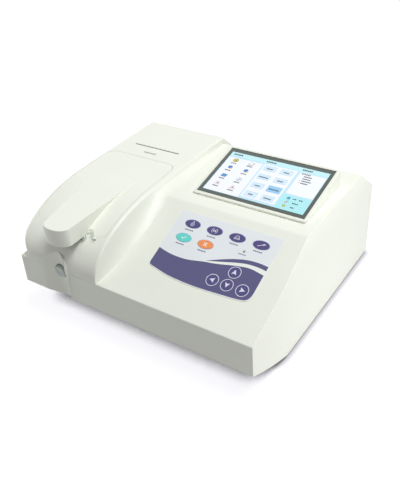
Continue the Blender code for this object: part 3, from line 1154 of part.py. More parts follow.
def make_rear():
    """The rear panel with the inlet, the rocker switch, the ports, the waste fitting and the fan."""
    y0 = REAR_Y - REAR_THICK
    panel = block("rear_panel", (REAR_X0 + GAP, y0, REAR_Z0 + GAP), (REAR_X1 - GAP, REAR_Y, REAR_Z1 - GAP), STEEL)
    middle = (REAR_Z0 + REAR_Z1) / 2
    inlet_x = rear_x(0.17)
    switch_x = rear_x(0.36)
    serial_x = rear_x(0.50)
    usb_x = rear_x(0.62)
    waste_x = rear_x(0.56)
    fan_x = rear_x(0.82)
    cut(panel, block("inlet_hole", (inlet_x - 0.014, y0 - 0.01, middle - 0.010), (inlet_x + 0.014, REAR_Y + 0.01, middle + 0.010)))
    cut(panel, block("switch_hole", (switch_x - SWITCH_WIDTH / 2 - 0.002, y0 - 0.01, middle - SWITCH_HEIGHT / 2 - 0.002),
                     (switch_x + SWITCH_WIDTH / 2 + 0.002, REAR_Y + 0.01, middle + SWITCH_HEIGHT / 2 + 0.002)))
    port_z = middle + 0.016
    cut(panel, block("serial_hole", (serial_x - 0.010, y0 - 0.01, port_z - 0.0055), (serial_x + 0.010, REAR_Y + 0.01, port_z + 0.0055)))
    cut(panel, block("usb_hole", (usb_x - 0.0068, y0 - 0.01, port_z - 0.0034), (usb_x + 0.0068, REAR_Y + 0.01, port_z + 0.0034)))
    cut(panel, rod("waste_hole", (waste_x, y0 - 0.01, middle - 0.018), "Y", 0.0032, 0.03, sides=16))
    for index in range(6):
        angle = math.pi * index / 3
        for reach, size in ((0.0165, 0.0060),):
            turn = angle
            cut(panel, rod("vent", (fan_x + reach * math.cos(turn), y0 - 0.01, middle + reach * math.sin(turn)), "Y", size, 0.03, sides=12))
    tidy(panel)
    face = REAR_Y + GAP
    inlet = block("mains_inlet", (inlet_x - INLET_WIDTH / 2, face, middle - 0.0145), (inlet_x + INLET_WIDTH / 2, face + 0.0024, middle + 0.0145),
                  BLACK_PLASTIC)
    weld(inlet, block("inlet_body", (inlet_x - 0.0137, y0 - 0.020, middle - 0.0097), (inlet_x + 0.0137, face + 0.001, middle + 0.0097)))
    cut(inlet, block("socket", (inlet_x - 0.0115, face - 0.012, middle - 0.0078), (inlet_x + 0.0115, face + 0.01, middle + 0.0078)))
    for offset in (-0.007, 0, 0.007):
        lift = 0.0025 if offset == 0 else -0.001
        weld(inlet, block("pin", (inlet_x + offset - 0.001, face - 0.0125, middle + lift - 0.002), (inlet_x + offset + 0.001, face - 0.003, middle + lift + 0.002)))
    shade(tidy(inlet))
    bezel = block("switch_bezel", (switch_x - SWITCH_WIDTH / 2 - 0.0035, face, middle - SWITCH_HEIGHT / 2 - 0.0035),
                  (switch_x + SWITCH_WIDTH / 2 + 0.0035, face + 0.0014, middle + SWITCH_HEIGHT / 2 + 0.0035), BLACK_PLASTIC)
    weld(bezel, block("switch_body", (switch_x - SWITCH_WIDTH / 2 - 0.0017, y0 - 0.014, middle - SWITCH_HEIGHT / 2 - 0.0017),
                      (switch_x + SWITCH_WIDTH / 2 + 0.0017, face + 0.001, middle + SWITCH_HEIGHT / 2 + 0.0017)))
    cut(bezel, block("rocker_room", (switch_x - SWITCH_WIDTH / 2, y0 - 0.008, middle - SWITCH_HEIGHT / 2),
                     (switch_x + SWITCH_WIDTH / 2, face + 0.01, middle + SWITCH_HEIGHT / 2)))
    tidy(bezel)
    axle_y = face - 0.0035
    half = SWITCH_HEIGHT / 2 - 0.0012
    front = [(half, 0.0030), (half - 0.0004, 0.0050), (0, 0.0038), (0.0004 - half, 0.0050), (-half, 0.0030), (0, -0.0042)]
    rocker = prism("power_switch", front, "X", switch_x - SWITCH_WIDTH / 2 + GAP, switch_x + SWITCH_WIDTH / 2 - GAP,
                   BLACK_PLASTIC)
    flip = Matrix(((1, 0, 0, 0), (0, 0, 1, axle_y), (0, 1, 0, middle), (0, 0, 0, 1)))
    turn_into(rocker, flip @ Matrix.Rotation(-SWITCH_ROCK, 4, "X"))
    rocker.data.flip_normals()
    pivot(rocker, (switch_x, axle_y, middle))
    serial = block("serial_port", (serial_x - 0.0155, face, port_z - 0.0063), (serial_x + 0.0155, face + 0.0008, port_z + 0.0063), STEEL)
    weld(serial, block("shell", (serial_x - 0.0096, y0 - 0.010, port_z - 0.0051), (serial_x + 0.0096, face + 0.0022, port_z + 0.0051)))
    cut(serial, block("mouth", (serial_x - 0.0086, face - 0.004, port_z - 0.0041), (serial_x + 0.0086, face + 0.01, port_z + 0.0041)))
    usb = block("usb_port", (usb_x - 0.0065, y0 - 0.012, port_z - 0.0031), (usb_x + 0.0065, face + 0.0005, port_z + 0.0031), STEEL)
    cut(usb, block("mouth", (usb_x - 0.0058, face - 0.008, port_z - 0.0024), (usb_x + 0.0058, face + 0.01, port_z + 0.0024)))
    fitting = [(0.0010, -0.012), (0.0029, -0.012), (0.0029, GAP), (0.0050, GAP), (0.0050, 0.0018), (0.0020, 0.0018), (0.0026, 0.0022),
               (0.0018, 0.0027), (0.0010, 0.0027)]
    shade(turned("waste_fitting", fitting, (waste_x, REAR_Y, middle - 0.018), "Y", BLACK_PLASTIC, 16))
    frame_y = y0 - GAP - FAN_DEPTH
    half = FAN_SIDE / 2
    frame = prism("fan_frame", rounded_rectangle(fan_x - half, middle - half, fan_x + half, middle + half, 0.004, 3), "Y",
                  frame_y, y0 - GAP, BLACK_PLASTIC)
    cut(frame, rod("duct", (fan_x, frame_y - 0.01, middle), "Y", half - 0.0018, 0.04, sides=32))
    hub = rod("hub", (fan_x, frame_y, middle), "Y", 0.0105, 0.0022, sides=24)
    for index in range(3):
        angle = 2 * math.pi * index / 3 + 0.5
        spoke = block("spoke", (0.009, 0, -0.0012), (half - 0.0010, 0.0018, 0.0012))
        turn_into(spoke, Matrix.Translation((fan_x, frame_y, middle)) @ Matrix.Rotation(angle, 4, "Y"))
        weld(hub, spoke)
    weld(hub, rod("stub", (fan_x, frame_y + 0.001, middle), "Y", 0.0016, 0.0075, sides=32))
    weld(frame, hub)
    shade(tidy(frame))
    rotor_y = frame_y + 0.0022 + 0.0006
    rotor_depth = FAN_DEPTH - 0.0045
    rotor = rod("fan_rotor", (fan_x, rotor_y, middle), "Y", 0.0105, rotor_depth, BLACK_PLASTIC, 24)
    for index in range(FAN_BLADES):
        angle = 2 * math.pi * index / FAN_BLADES
        blade = fan_blade(half - 0.0030, rotor_depth)
        turn_into(blade, Matrix.Translation((fan_x, rotor_y, middle)) @ Matrix.Rotation(angle, 4, "Y"))
        weld(rotor, blade)
    cut(rotor, rod("bore", (fan_x, rotor_y - 0.002, middle), "Y", 0.0016 + 0.00008, 0.0085, sides=32))
    pivot(shade(tidy(rotor)), (fan_x, rotor_y + rotor_depth / 2, middle))


def fan_blade(reach, depth):
    """One pitched blade from the hub outwards, along +X."""
    rings = []
    for x in (0.0095, reach * 0.7, reach):
        lean = 0.0035
        y0 = 0.0008
        y1 = depth - 0.0008
        rings.append([(x, y0, -lean), (x, y0, -lean + 0.0010), (x, y1, lean + 0.0010), (x, y1, lean)])
    return loft("blade", rings)


def make_probe():
    """The sample needle inside the tongue and the bracket that carries it from the nose's rim."""
    rim = Y_FRONT + BAY_FRONT
    rim_z = nose_height(BAY_FRONT)
    x = TONGUE_X1 - TONGUE_TIP_WIDTH / 2
    needle_y = Y_FRONT + 0.009
    arm_z = rim_z + 0.0035
    arm = block("probe_bracket", (x - 0.005, needle_y - 0.004, arm_z), (x + 0.005, rim + 0.004, arm_z + 0.0015), STEEL)
    weld(arm, block("leg", (x - 0.005, rim + GAP, rim_z - 0.016), (x + 0.005, rim + GAP + 0.0015, arm_z + 0.0010)))
    cut(arm, rod("needle_hole", (x, needle_y, arm_z - 0.01), "Z", 0.0009 + GAP / 2, 0.03, sides=16))
    needle = [(0.0004, -0.0115), (0.0007, -0.0115), (0.0009, -0.0105), (0.0009, 0.0018), (0.0018, 0.0018), (0.0018, 0.0040), (0.0004, 0.0040)]
    turned("sample_probe", needle, (x, needle_y, arm_z), "Z", STEEL, 16)


def main():
    """Builds the analyzer."""
    clear_scene()
    skin = make_housing()
    make_cover(skin)
    make_latch()
    make_screen()
    make_keypad()
    make_button()
    make_hose_and_bush()
    make_probe()
    make_base()
    make_optics()
    make_pump()
    make_printer()
    make_electronics()
    make_rear()


main()
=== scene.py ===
"""Fine shapes, finishes, light and camera for a semi-automatic chemistry analyzer.

Metres, +Z up, +X to the operator's right, -Y towards the operator, in the same frame as the solids.
"""
import logging
import math
from dataclasses import dataclass, field
from enum import Enum
from typing import Iterable, Sequence

import bmesh
import bpy
from bmesh.types import BMEdge, BMesh, BMVert
from bpy.types import Material, Node, NodeSocket, NodeTree, Object
from mathutils import Euler, Matrix, Vector


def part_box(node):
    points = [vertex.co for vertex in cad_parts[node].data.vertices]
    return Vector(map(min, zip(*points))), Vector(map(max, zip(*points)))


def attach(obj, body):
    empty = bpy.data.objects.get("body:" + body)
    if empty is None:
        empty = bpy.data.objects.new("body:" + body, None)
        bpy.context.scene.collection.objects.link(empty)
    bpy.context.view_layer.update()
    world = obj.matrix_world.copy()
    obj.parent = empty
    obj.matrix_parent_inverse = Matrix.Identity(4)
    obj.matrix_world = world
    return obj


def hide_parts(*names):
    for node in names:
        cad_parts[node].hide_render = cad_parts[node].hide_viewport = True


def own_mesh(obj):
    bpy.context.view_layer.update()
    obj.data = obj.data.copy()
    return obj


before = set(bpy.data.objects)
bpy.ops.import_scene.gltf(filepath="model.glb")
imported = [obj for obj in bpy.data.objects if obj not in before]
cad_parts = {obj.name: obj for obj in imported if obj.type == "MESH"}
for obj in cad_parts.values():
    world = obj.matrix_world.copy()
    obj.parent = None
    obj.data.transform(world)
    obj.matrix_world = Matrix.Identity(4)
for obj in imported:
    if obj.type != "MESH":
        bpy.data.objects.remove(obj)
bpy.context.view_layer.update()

log = logging.getLogger("analyzer")

Pair = tuple[float, float]
Triple = tuple[float, float, float]
Quad = tuple[float, float, float, float]
Colour = tuple[int, int, int]
MM = 0.001

# How far cutters run past what they cut, and how near two points or two levels count as one, in metres.
PAST = 0.01
FAR_PAST = 0.02
CLEAR = 0.05
TOUCH = 1e-6
HAIR = 1e-7

# Two faces' edge is sharp past this angle.
SHARP = math.radians(25)


class Axis(Enum):
    """The axis that a shape is pushed or turned along."""

    X = "X"
    Y = "Y"
    Z = "Z"


class Join(Enum):
    """How one solid meets another."""

    UNION = "UNION"
    DIFFERENCE = "DIFFERENCE"
    INTERSECT = "INTERSECT"


class Grain(Enum):
    """The fine pattern in a finish."""

    MOULDED = "moulded"
    BRUSHED = "brushed"
    CAST = "cast"
    BOARD = "board"
    PRINT = "print"
    DISPLAY = "display"
    PAPER = "paper"


class Icon(Enum):
    """The plain marks on the keys."""

    LAMP = "lamp"
    DROPS = "drops"
    TRAY = "tray"
    NEEDLE = "needle"
    TICK = "tick"
    CROSS = "cross"


def linear(colour: Colour) -> Triple:
    """Turns an sRGB colour of 0 to 255 into linear light."""
    parts = [value / 255 for value in colour]
    return tuple(s / 12.92 if s <= 0.04045 else ((s + 0.055) / 1.055) ** 2.4 for s in parts)


@dataclass
class Graph:
    """The nodes of one tree, added and linked in one step each."""

    tree: NodeTree

    def add(self, kind: str, values: dict[str | int, object] | None = None, **settings: object) -> Node:
        """Adds a node.

        Args:
            kind: The node's type, without the ShaderNode before it.
            values: What goes into its sockets, as feed takes it.
            settings: The node's own settings by name.

        Returns:
            The node.
        """
        node = self.tree.nodes.new(f"ShaderNode{kind}")
        for name, value in settings.items():
            setattr(node, name, value)
        self.feed(node, values or {})
        return node

    def feed(self, node: Node, values: dict[str | int, object]) -> None:
        """Fills a node's sockets.

        Args:
            node: The node that takes the values.
            values: A plain value, or another node's socket to link, by the socket's name or number.
        """
        for key, value in values.items():
            if isinstance(value, NodeSocket):
                self.tree.links.new(value, node.inputs[key])
            else:
                node.inputs[key].default_value = value


@dataclass(frozen=True)
class Finish:
    """A surface finish, made as a node material.

    Lengths are in metres. The grain's size is its scale in cycles to the metre.
    """

    name: str
    slot: str
    colour: Colour
    roughness: float
    metallic: float = 0.0
    grain: Grain = Grain.MOULDED
    drift: float = 0.03
    grain_scale: float = 1100.0
    grain_depth: float = 0.00002
    coat: float = 0.0
    glow: float = 0.0
    clear: float = 0.0
    coat_roughness: float = 0.04
    roughness_spread: float = 0.05
    least_roughness: float = 0.02
    broad_scale: float = 18.0
    board_scale: float = 160.0
    pit_scale: float = 700.0
    brush_stretch: float = 0.04
    bump_strength: float = 0.6
    tone_stops: Pair = (0.35, 0.65)

    def material(self) -> Material:
        """Makes the material once and gives it back each time.

        Returns:
            The node material of this finish.
        """
        known = bpy.data.materials.get(self.name)
        if known:
            return known
        made = bpy.data.materials.new(self.name)
        made.use_nodes = True
        graph = Graph(made.node_tree)
        shader = made.node_tree.nodes["Principled BSDF"]
        graph.feed(shader, {
            "Metallic": self.metallic,
            "Coat Weight": self.coat,
            "Coat Roughness": self.coat_roughness,
            "Transmission Weight": self.clear,
        })
        if self.glow:
            graph.feed(shader, {"Emission Color": (*linear(self.colour), 1), "Emission Strength": self.glow})
        stretch = (self.brush_stretch, 1, 1) if self.grain is Grain.BRUSHED else (1, 1, 1)
        spot = graph.add("TexCoord").outputs["Object"]
        mapped = graph.add("Mapping", {"Vector": spot, "Scale": stretch}).outputs["Vector"]
        broad = graph.add("TexNoise", {"Vector": mapped, "Scale": self.broad_scale, "Detail": 3.0})
        fine = graph.add("TexNoise", {"Vector": mapped, "Scale": self.grain_scale, "Detail": 2.0})
        tone = graph.add("ValToRGB", {"Fac": self.pattern(graph, mapped, broad.outputs["Fac"])})
        ends = (1 - self.drift, 1 + self.drift)
        for stop, position, share in zip(tone.color_ramp.elements, self.tone_stops, ends):
            stop.position = position
            stop.color = (*(min(1.0, value * share) for value in linear(self.colour)), 1)
        rough = graph.add("MapRange", {
            "Value": fine.outputs["Fac"],
            "To Min": max(self.least_roughness, self.roughness - self.roughness_spread),
            "To Max": min(1.0, self.roughness + self.roughness_spread),
        })
        graph.feed(shader, {"Base Color": tone.outputs["Color"], "Roughness": rough.outputs["Result"]})
        if self.grain_depth:
            bump = graph.add("Bump", {
                "Height": fine.outputs["Fac"], "Strength": self.bump_strength, "Distance": self.grain_depth,
            })
            graph.feed(shader, {"Normal": bump.outputs["Normal"]})
        return made

    def pattern(self, graph: Graph, mapped: NodeSocket, broad: NodeSocket) -> NodeSocket:
        """Picks what the tone follows.

        Args:
            graph: The material's nodes.
            mapped: The mapped place on the piece.
            broad: The broad noise, which most finishes follow.

        Returns:
            The socket that the tone reads.
        """
        if self.grain is Grain.BOARD:
            tracks = {"Vector": mapped, "Scale": self.board_scale, "Mortar Size": 0.06}
            return graph.add("TexBrick", tracks).outputs["Fac"]
        if self.grain is Grain.CAST:
            return graph.add("TexVoronoi", {"Vector": mapped, "Scale": self.pit_scale}).outputs["Distance"]
        return broad


def printed(name: str, colour: Colour, roughness: float, drift: float) -> Finish:
    """An ink on the keypad's film."""
    return Finish(name, "keypad_film", colour, roughness, grain=Grain.PRINT, drift=drift, grain_scale=2200)


def lit(name: str, colour: Colour) -> Finish:
    """A field of the lit display behind the glass."""
    return Finish(name, "screen_glass", colour, 0.12, 0.0, Grain.DISPLAY, 0.01, 2600, 0, 1.0, 0.12)


IVORY = Finish("moulded_ivory", "ivory_plastic", (244, 247, 236), 0.42, drift=0.008)
BUTTON = Finish("button_grey_gloss", "button_grey", (196, 206, 200), 0.32, drift=0.02)
BLACK = Finish("moulded_black", "black_plastic", (24, 25, 26), 0.45, drift=0.15)
# Dark finish of the paper guide under the slot; the brown-black is painted shade standing in for the dark
# inside of the slot.
PAINTED_SLOT_SHADE = Finish("paper_guide_painted_slot_shade", "black_plastic", (58, 52, 46), 0.6, drift=0.1)
HOSE = Finish("clear_silicone", "clear_hose", (232, 238, 232), 0.12, clear=0.75, drift=0.01, grain_depth=0)
STEEL = Finish("brushed_bright_steel", "bright_steel", (196, 199, 201), 0.3, 1.0, Grain.BRUSHED, 0.06, 2600)
ZINC = Finish("zinc_plated_steel", "base_steel", (184, 188, 189), 0.38, 0.9, Grain.CAST, 0.08, 500)
RUBBER = Finish("black_rubber", "rubber_feet", (30, 30, 31), 0.85, drift=0.2, grain_scale=1600)
CAST = Finish("cast_grey_metal", "cast_metal", (160, 163, 165), 0.5, 0.85, Grain.CAST, 0.1, 900, 0.00006)
ANODISED = Finish("black_anodised", "black_metal", (34, 35, 38), 0.42, 0.6, Grain.BRUSHED, 0.12, 2000)
QUARTZ = Finish("polished_quartz", "quartz", (236, 243, 245), 0.05, clear=0.9, drift=0.01, grain_depth=0)
BOARD = Finish("green_solder_mask", "board_green", (22, 104, 58), 0.4, 0.0, Grain.BOARD, 0.3, 900, coat=0.3)
PAPER = Finish("smooth_roll_paper", "roll_paper", (240, 240, 236), 0.8, 0.0, Grain.PAPER, 0.02, 1500)
REAR = Finish("satin_aluminium", "rear_aluminium", (206, 209, 211), 0.36, 0.95, Grain.BRUSHED, 0.04, 2400)
PANEL_BACK = Finish("display_back_plate", "display_back", (150, 153, 156), 0.4, 0.8, Grain.BRUSHED, 0.05)
LENS = Finish("green_lens", "led_lens", (128, 146, 94), 0.2, coat=0.6, glow=0.05, drift=0.02, grain_depth=0)
GLASS_RIM = Finish("glass_dark_rim", "screen_glass", (52, 70, 62), 0.08, coat=1.0, drift=0.05, grain_depth=0)

FILM_PALE = printed("film_pale", (238, 243, 247), 0.34, 0.012)
FILM_WHITE = printed("film_white_line", (246, 250, 244), 0.34, 0.01)
FILM_PURPLE = printed("film_purple", (86, 83, 128), 0.33, 0.03)
KEY_PURPLE = printed("key_purple", (78, 70, 128), 0.3, 0.04)
KEY_HALO = printed("key_halo", (176, 184, 214), 0.34, 0.03)
KEY_TEAL = printed("key_turquoise", (104, 224, 214), 0.3, 0.03)
KEY_ORANGE = printed("key_orange", (251, 152, 88), 0.3, 0.03)
KEY_LINE = printed("key_white_line", (232, 232, 248), 0.34, 0.02)
LABEL = printed("film_label_bars", (122, 124, 150), 0.36, 0.04)

LIT_WHITE = lit("display_white", (240, 244, 248))
LIT_EDGE = lit("display_pale_blue", (190, 226, 244))
LIT_CYAN = lit("display_cyan", (168, 232, 240))
LIT_HEADER = lit("display_header", (190, 238, 245))
LIT_BUTTON = lit("display_button", (206, 230, 248))
LIT_BUTTON_EDGE = lit("display_button_edge", (178, 214, 240))
LIT_HOT = lit("display_hot_button", (140, 198, 240))
LIT_DARK = lit("display_dark_marks", (44, 62, 78))
LIT_GREY = lit("display_grey_marks", (128, 132, 142))
LIT_BLUE = lit("display_blue", (46, 116, 200))
LIT_TEAL = lit("display_teal", (30, 150, 176))
LIT_RED = lit("display_red", (206, 70, 64))
LIT_YELLOW = lit("display_yellow", (238, 200, 66))
LIT_OLIVE = lit("display_olive", (150, 160, 60))

NODE_FINISHES: dict[Finish, tuple[str, ...]] = {
    BLACK: (
        "button_switch", "pump_body", "mains_inlet", "power_switch", "switch_bezel", "waste_fitting",
        "fan_frame", "fan_rotor",
    ),
    STEEL: (
        "sample_probe", "probe_bracket", "printer_frame", "serial_port", "usb_port", "pump_motor",
        *(f"base_screw_{number}" for number in range(1, 5)),
    ),
    ZINC: ("base_plate", "power_supply"),
    RUBBER: ("foot_1", "foot_2", "foot_3", "foot_4", "platen_roller"),
    CAST: ("optical_bench", "flow_cell_block", "print_head"),
    ANODISED: ("detector_housing", "lamp_housing", "filter_wheel", "filter_motor"),
    QUARTZ: ("flow_cell", "halogen_lamp"),
    BUTTON: ("pump_rotor",),
    HOSE: ("pump_hose",),
    BOARD: ("main_board",),
    PAPER: ("paper_roll",),
    REAR: ("rear_panel",),
    PANEL_BACK: ("lcd_panel",),
    LENS: ("power_led",),
}


def place(axis: Axis, pair: Pair, along: float) -> Vector:
    """A point from two coordinates in a plane and one along the axis across it.

    Args:
        axis: The axis across the plane.
        pair: The two coordinates in the plane, in the order of the axes.
        along: The coordinate on the axis.

    Returns:
        The point.
    """
    if axis is Axis.X:
        return Vector((along, pair[0], pair[1]))
    if axis is Axis.Y:
        return Vector((pair[0], along, pair[1]))
    return Vector((pair[0], pair[1], along))


def shares(count: int) -> list[float]:
    """Even shares from 0 to 1, both included."""
    return [step / count for step in range(count + 1)]


def arc(centre: Pair, radius: float, start: float, end: float, count: int) -> list[Pair]:
    """Points on an arc, ends included, with angles in degrees."""
    angles = [math.radians(start + (end - start) * share) for share in shares(count)]
    return [(centre[0] + radius * math.cos(a), centre[1] + radius * math.sin(a)) for a in angles]


def ellipse(centre: Pair, half_x: float, half_y: float, count: int = 48) -> list[Pair]:
    """The outline of an ellipse."""
    angles = [2 * math.pi * step / count for step in range(count)]
    return [(centre[0] + half_x * math.cos(a), centre[1] + half_y * math.sin(a)) for a in angles]


def rectangle(x0: float, y0: float, x1: float, y1: float) -> list[Pair]:
    """The outline of a rectangle."""
    return [(x0, y0), (x1, y0), (x1, y1), (x0, y1)]


def centred(centre: Pair, half: Pair, corner: float = 0.0, count: int = 8) -> list[Pair]:
    """The outline of a rectangle round its middle.

    Args:
        centre: The rectangle's middle.
        half: Half of its width and half of its depth.
        corner: The radius of its corners, or 0 where they stay sharp.
        count: The steps of each round corner.

    Returns:
        The outline's points.
    """
    x0, y0, x1, y1 = centre[0] - half[0], centre[1] - half[1], centre[0] + half[0], centre[1] + half[1]
    if not corner:
        return rectangle(x0, y0, x1, y1)
    return (
        arc((x1 - corner, y0 + corner), corner, -90, 0, count)
        + arc((x1 - corner, y1 - corner), corner, 0, 90, count)
        + arc((x0 + corner, y1 - corner), corner, 90, 180, count)
        + arc((x0 + corner, y0 + corner), corner, 180, 270, count)
    )


def half_rings(centre: Pair, inner: float, outer: float) -> list[list[Pair]]:
    """A ring as two half rings, each a plain outline."""
    turns = ((0, 180), (180, 360))
    return [arc(centre, outer, low, high, 24) + arc(centre, inner, high, low, 24) for low, high in turns]


def turned_outline(outline: Iterable[Pair], centre: Pair, angle: float, scale: float = 1.0) -> list[Pair]:
    """Turns an outline, scales it and moves it to a centre.

    Args:
        outline: The outline round its own middle.
        centre: Where its middle goes.
        angle: The turn in degrees.
        scale: The share that its size changes by.

    Returns:
        The moved outline.
    """
    c = math.cos(math.radians(angle)) * scale
    s = math.sin(math.radians(angle)) * scale
    return [(centre[0] + c * x - s * y, centre[1] + s * x + c * y) for x, y in outline]


def eased(share: float) -> float:
    """A share from 0 to 1 that sets off and arrives gently."""
    return share * share * (3 - 2 * share)


def smooth_curve(points: Sequence[Sequence[float]], steps: int) -> list[Vector]:
    """Points on a smooth curve through a few chosen ones.

    Args:
        points: The chosen points, in two or three coordinates.
        steps: How many points each stretch between two of them gets.

    Returns:
        The curve's points, the first and last chosen ones included.
    """
    knots = [Vector(point) for point in points]
    padded = [2 * knots[0] - knots[1]] + knots + [2 * knots[-1] - knots[-2]]
    path = []
    for index in range(1, len(padded) - 2):
        before, start, end, after = padded[index - 1: index + 3]
        for step in range(steps):
            share = step / steps
            path.append(0.5 * (
                2 * start + (end - before) * share
                + (2 * before - 5 * start + 4 * end - after) * share ** 2
                + (3 * start - before - 3 * end + after) * share ** 3
            ))
    return path + [knots[-1]]


def fillet(points: Sequence[Pair], radii: Sequence[float], count: int = 6) -> list[Pair]:
    """Rounds the corners of a closed outline.

    Args:
        points: The outline's corners in order.
        radii: The radius at each corner, or 0 where it stays sharp.
        count: The steps of each round corner.

    Returns:
        The outline with an arc in place of each rounded corner.
    """
    outline = []
    for index, corner in enumerate(points):
        here = Vector(corner)
        back = (Vector(points[index - 1]) - here).normalized()
        ahead = (Vector(points[(index + 1) % len(points)]) - here).normalized()
        radius = radii[index]
        if radius <= 0:
            outline.append(tuple(here))
            continue
        half = back.angle(ahead) / 2
        middle = here + (back + ahead).normalized() * (radius / math.sin(half))
        start = here + back * (radius / math.tan(half)) - middle
        end = here + ahead * (radius / math.tan(half)) - middle
        sweep = start.angle_signed(end)
        for step in range(count + 1):
            outline.append(tuple(middle + Matrix.Rotation(-sweep * step / count, 2) @ start))
    return outline


def inset_outline(points: Sequence[Pair], distances: Sequence[float]) -> list[Pair]:
    """Moves each edge of a closed outline inwards by its own distance.

    Args:
        points: The outline's corners in order.
        distances: How far each edge moves; edge i runs from point i to point i + 1.

    Returns:
        The new corners.
    """
    count = len(points)
    area = sum(points[i - 1][0] * points[i][1] - points[i][0] * points[i - 1][1] for i in range(count))
    turn = 1 if area > 0 else -1
    lines = []
    for index, start in enumerate(points):
        along = (Vector(points[(index + 1) % count]) - Vector(start)).normalized()
        inward = Vector((-along.y, along.x)) * turn
        lines.append((Vector(start) + inward * distances[index], along))
    moved = []
    for index in range(count):
        base, along = lines[index - 1]
        other, other_along = lines[index]
        cross = along.cross(other_along)
        if abs(cross) < TOUCH:
            moved.append(tuple(other))
            continue
        moved.append(tuple(base + along * ((other - base).cross(other_along) / cross)))
    return moved


def ring_of_edges(work: BMesh, points: Iterable[Sequence[float]]) -> list[BMEdge]:
    """Draws a closed ring of edges through points."""
    corners = [work.verts.new(point) for point in points]
    return [work.edges.new((start, end)) for start, end in zip(corners, corners[1:] + corners[:1])]


def prism(axis: Axis, outline: Sequence[Pair], start: float, end: float) -> BMesh:
    """Fills an outline and extrudes it along an axis.

    Args:
        axis: The axis that the outline is pushed along.
        outline: The closed outline's points, in the plane across the axis.
        start: Where the shape starts on the axis.
        end: Where it ends.

    Returns:
        The closed shape.
    """
    work = bmesh.new()
    edges = ring_of_edges(work, [place(axis, pair, start) for pair in outline])
    bmesh.ops.contextual_create(work, geom=edges)
    lifted = bmesh.ops.extrude_face_region(work, geom=work.faces[:])
    corners = [item for item in lifted["geom"] if isinstance(item, BMVert)]
    bmesh.ops.translate(work, vec=place(axis, (0, 0), end - start), verts=corners)
    bmesh.ops.recalc_face_normals(work, faces=work.faces)
    return work


def block(low: Sequence[float], high: Sequence[float]) -> BMesh:
    """A box between two corners."""
    return prism(Axis.Z, rectangle(low[0], low[1], high[0], high[1]), low[2], high[2])


def loft(rings: Sequence[Sequence[Sequence[float]]]) -> BMesh:
    """Grows a closed skin from ring to ring by extruding the open edge, and fills both ends.

    Args:
        rings: The rings' points, as many in each.

    Returns:
        The closed shape.
    """
    work = bmesh.new()
    edges = ring_of_edges(work, rings[0])
    row = list(work.verts)
    bmesh.ops.contextual_create(work, geom=edges)
    for ring in rings[1:]:
        grown = bmesh.ops.extrude_edge_only(work, edges=edges)["geom"]
        fresh = {item for item in grown if isinstance(item, BMVert)}
        edges = [item for item in grown if isinstance(item, BMEdge)]
        edges = [edge for edge in edges if fresh.issuperset(edge.verts)]
        row = [next(e.other_vert(old) for e in old.link_edges if e.other_vert(old) in fresh) for old in row]
        for vertex, point in zip(row, ring):
            vertex.co = point
    bmesh.ops.contextual_create(work, geom=edges)
    bmesh.ops.recalc_face_normals(work, faces=work.faces)
    return work


def lathe(axis: Axis, centre: Sequence[float], profile: Sequence[Pair], steps: int) -> BMesh:
    """Turns a closed profile round an axis.

    Args:
        axis: The direction of the axis.
        centre: A point on it, from which distances are measured.
        profile: Pairs of a radius and a distance along the axis.
        steps: How many faces go round.

    Returns:
        The closed shape.
    """
    work = bmesh.new()
    ring_of_edges(work, [(radius, 0, level) for radius, level in profile])
    bmesh.ops.spin(
        work, geom=work.verts[:] + work.edges[:], cent=(0, 0, 0), axis=(0, 0, 1),
        angle=2 * math.pi, steps=steps, use_merge=True, use_duplicate=False,
    )
    bmesh.ops.remove_doubles(work, verts=work.verts, dist=HAIR)
    bmesh.ops.dissolve_degenerate(work, edges=work.edges, dist=HAIR / 10)
    turn = {Axis.X: Matrix.Rotation(math.pi / 2, 4, "Y"), Axis.Y: Matrix.Rotation(-math.pi / 2, 4, "X")}
    matrix = Matrix.Translation(centre) @ turn.get(axis, Matrix.Identity(4))
    bmesh.ops.transform(work, matrix=matrix, verts=work.verts)
    bmesh.ops.recalc_face_normals(work, faces=work.faces)
    return work


def rod(axis: Axis, centre: Sequence[float], radius: float, length: float, steps: int) -> BMesh:
    """A round bar that starts at a centre and runs along an axis."""
    return lathe(axis, centre, [(0, 0), (radius, 0), (radius, length), (0, length)], steps)


def round_edges(work: BMesh, edges: Iterable[BMEdge], width: float, steps: int = 3) -> None:
    """Bevels chosen edges of a shape.

    Args:
        work: The shape.
        edges: The edges that are bevelled.
        width: How far the bevel reaches from an edge.
        steps: The bevel's segments.
    """
    bmesh.ops.bevel(
        work, geom=list(edges), offset=width, offset_type="OFFSET", segments=steps, profile=0.5,
        affect="EDGES", clamp_overlap=True, material=-1,
    )


def sharp_edges(work: BMesh) -> list[BMEdge]:
    """The edges between two faces that meet at a sharp angle."""
    folded = [edge for edge in work.edges if len(edge.link_faces) == 2]
    return [edge for edge in folded if edge.calc_face_angle(0) > SHARP]


def edges_over(work: BMesh, level: float) -> list[BMEdge]:
    """The edges that lie wholly at or over a level."""
    return [edge for edge in work.edges if all(vertex.co.z > level - TOUCH for vertex in edge.verts)]


def show(made: Object) -> Object:
    """Links an object to the scene and gives it back."""
    bpy.context.scene.collection.objects.link(made)
    return made


def worked_out(made: Object) -> bpy.types.Mesh:
    """The mesh of an object with its modifier or its curve worked out."""
    bpy.context.view_layer.update()
    return bpy.data.meshes.new_from_object(made.evaluated_get(bpy.context.evaluated_depsgraph_get()))


def to_object(name: str, work: BMesh) -> Object:
    """Makes a shape an object at the origin and frees it.

    Args:
        name: The object's name.
        work: The shape, which is used up.

    Returns:
        The object.
    """
    mesh = bpy.data.meshes.new(name)
    work.to_mesh(mesh)
    work.free()
    return show(bpy.data.objects.new(name, mesh))


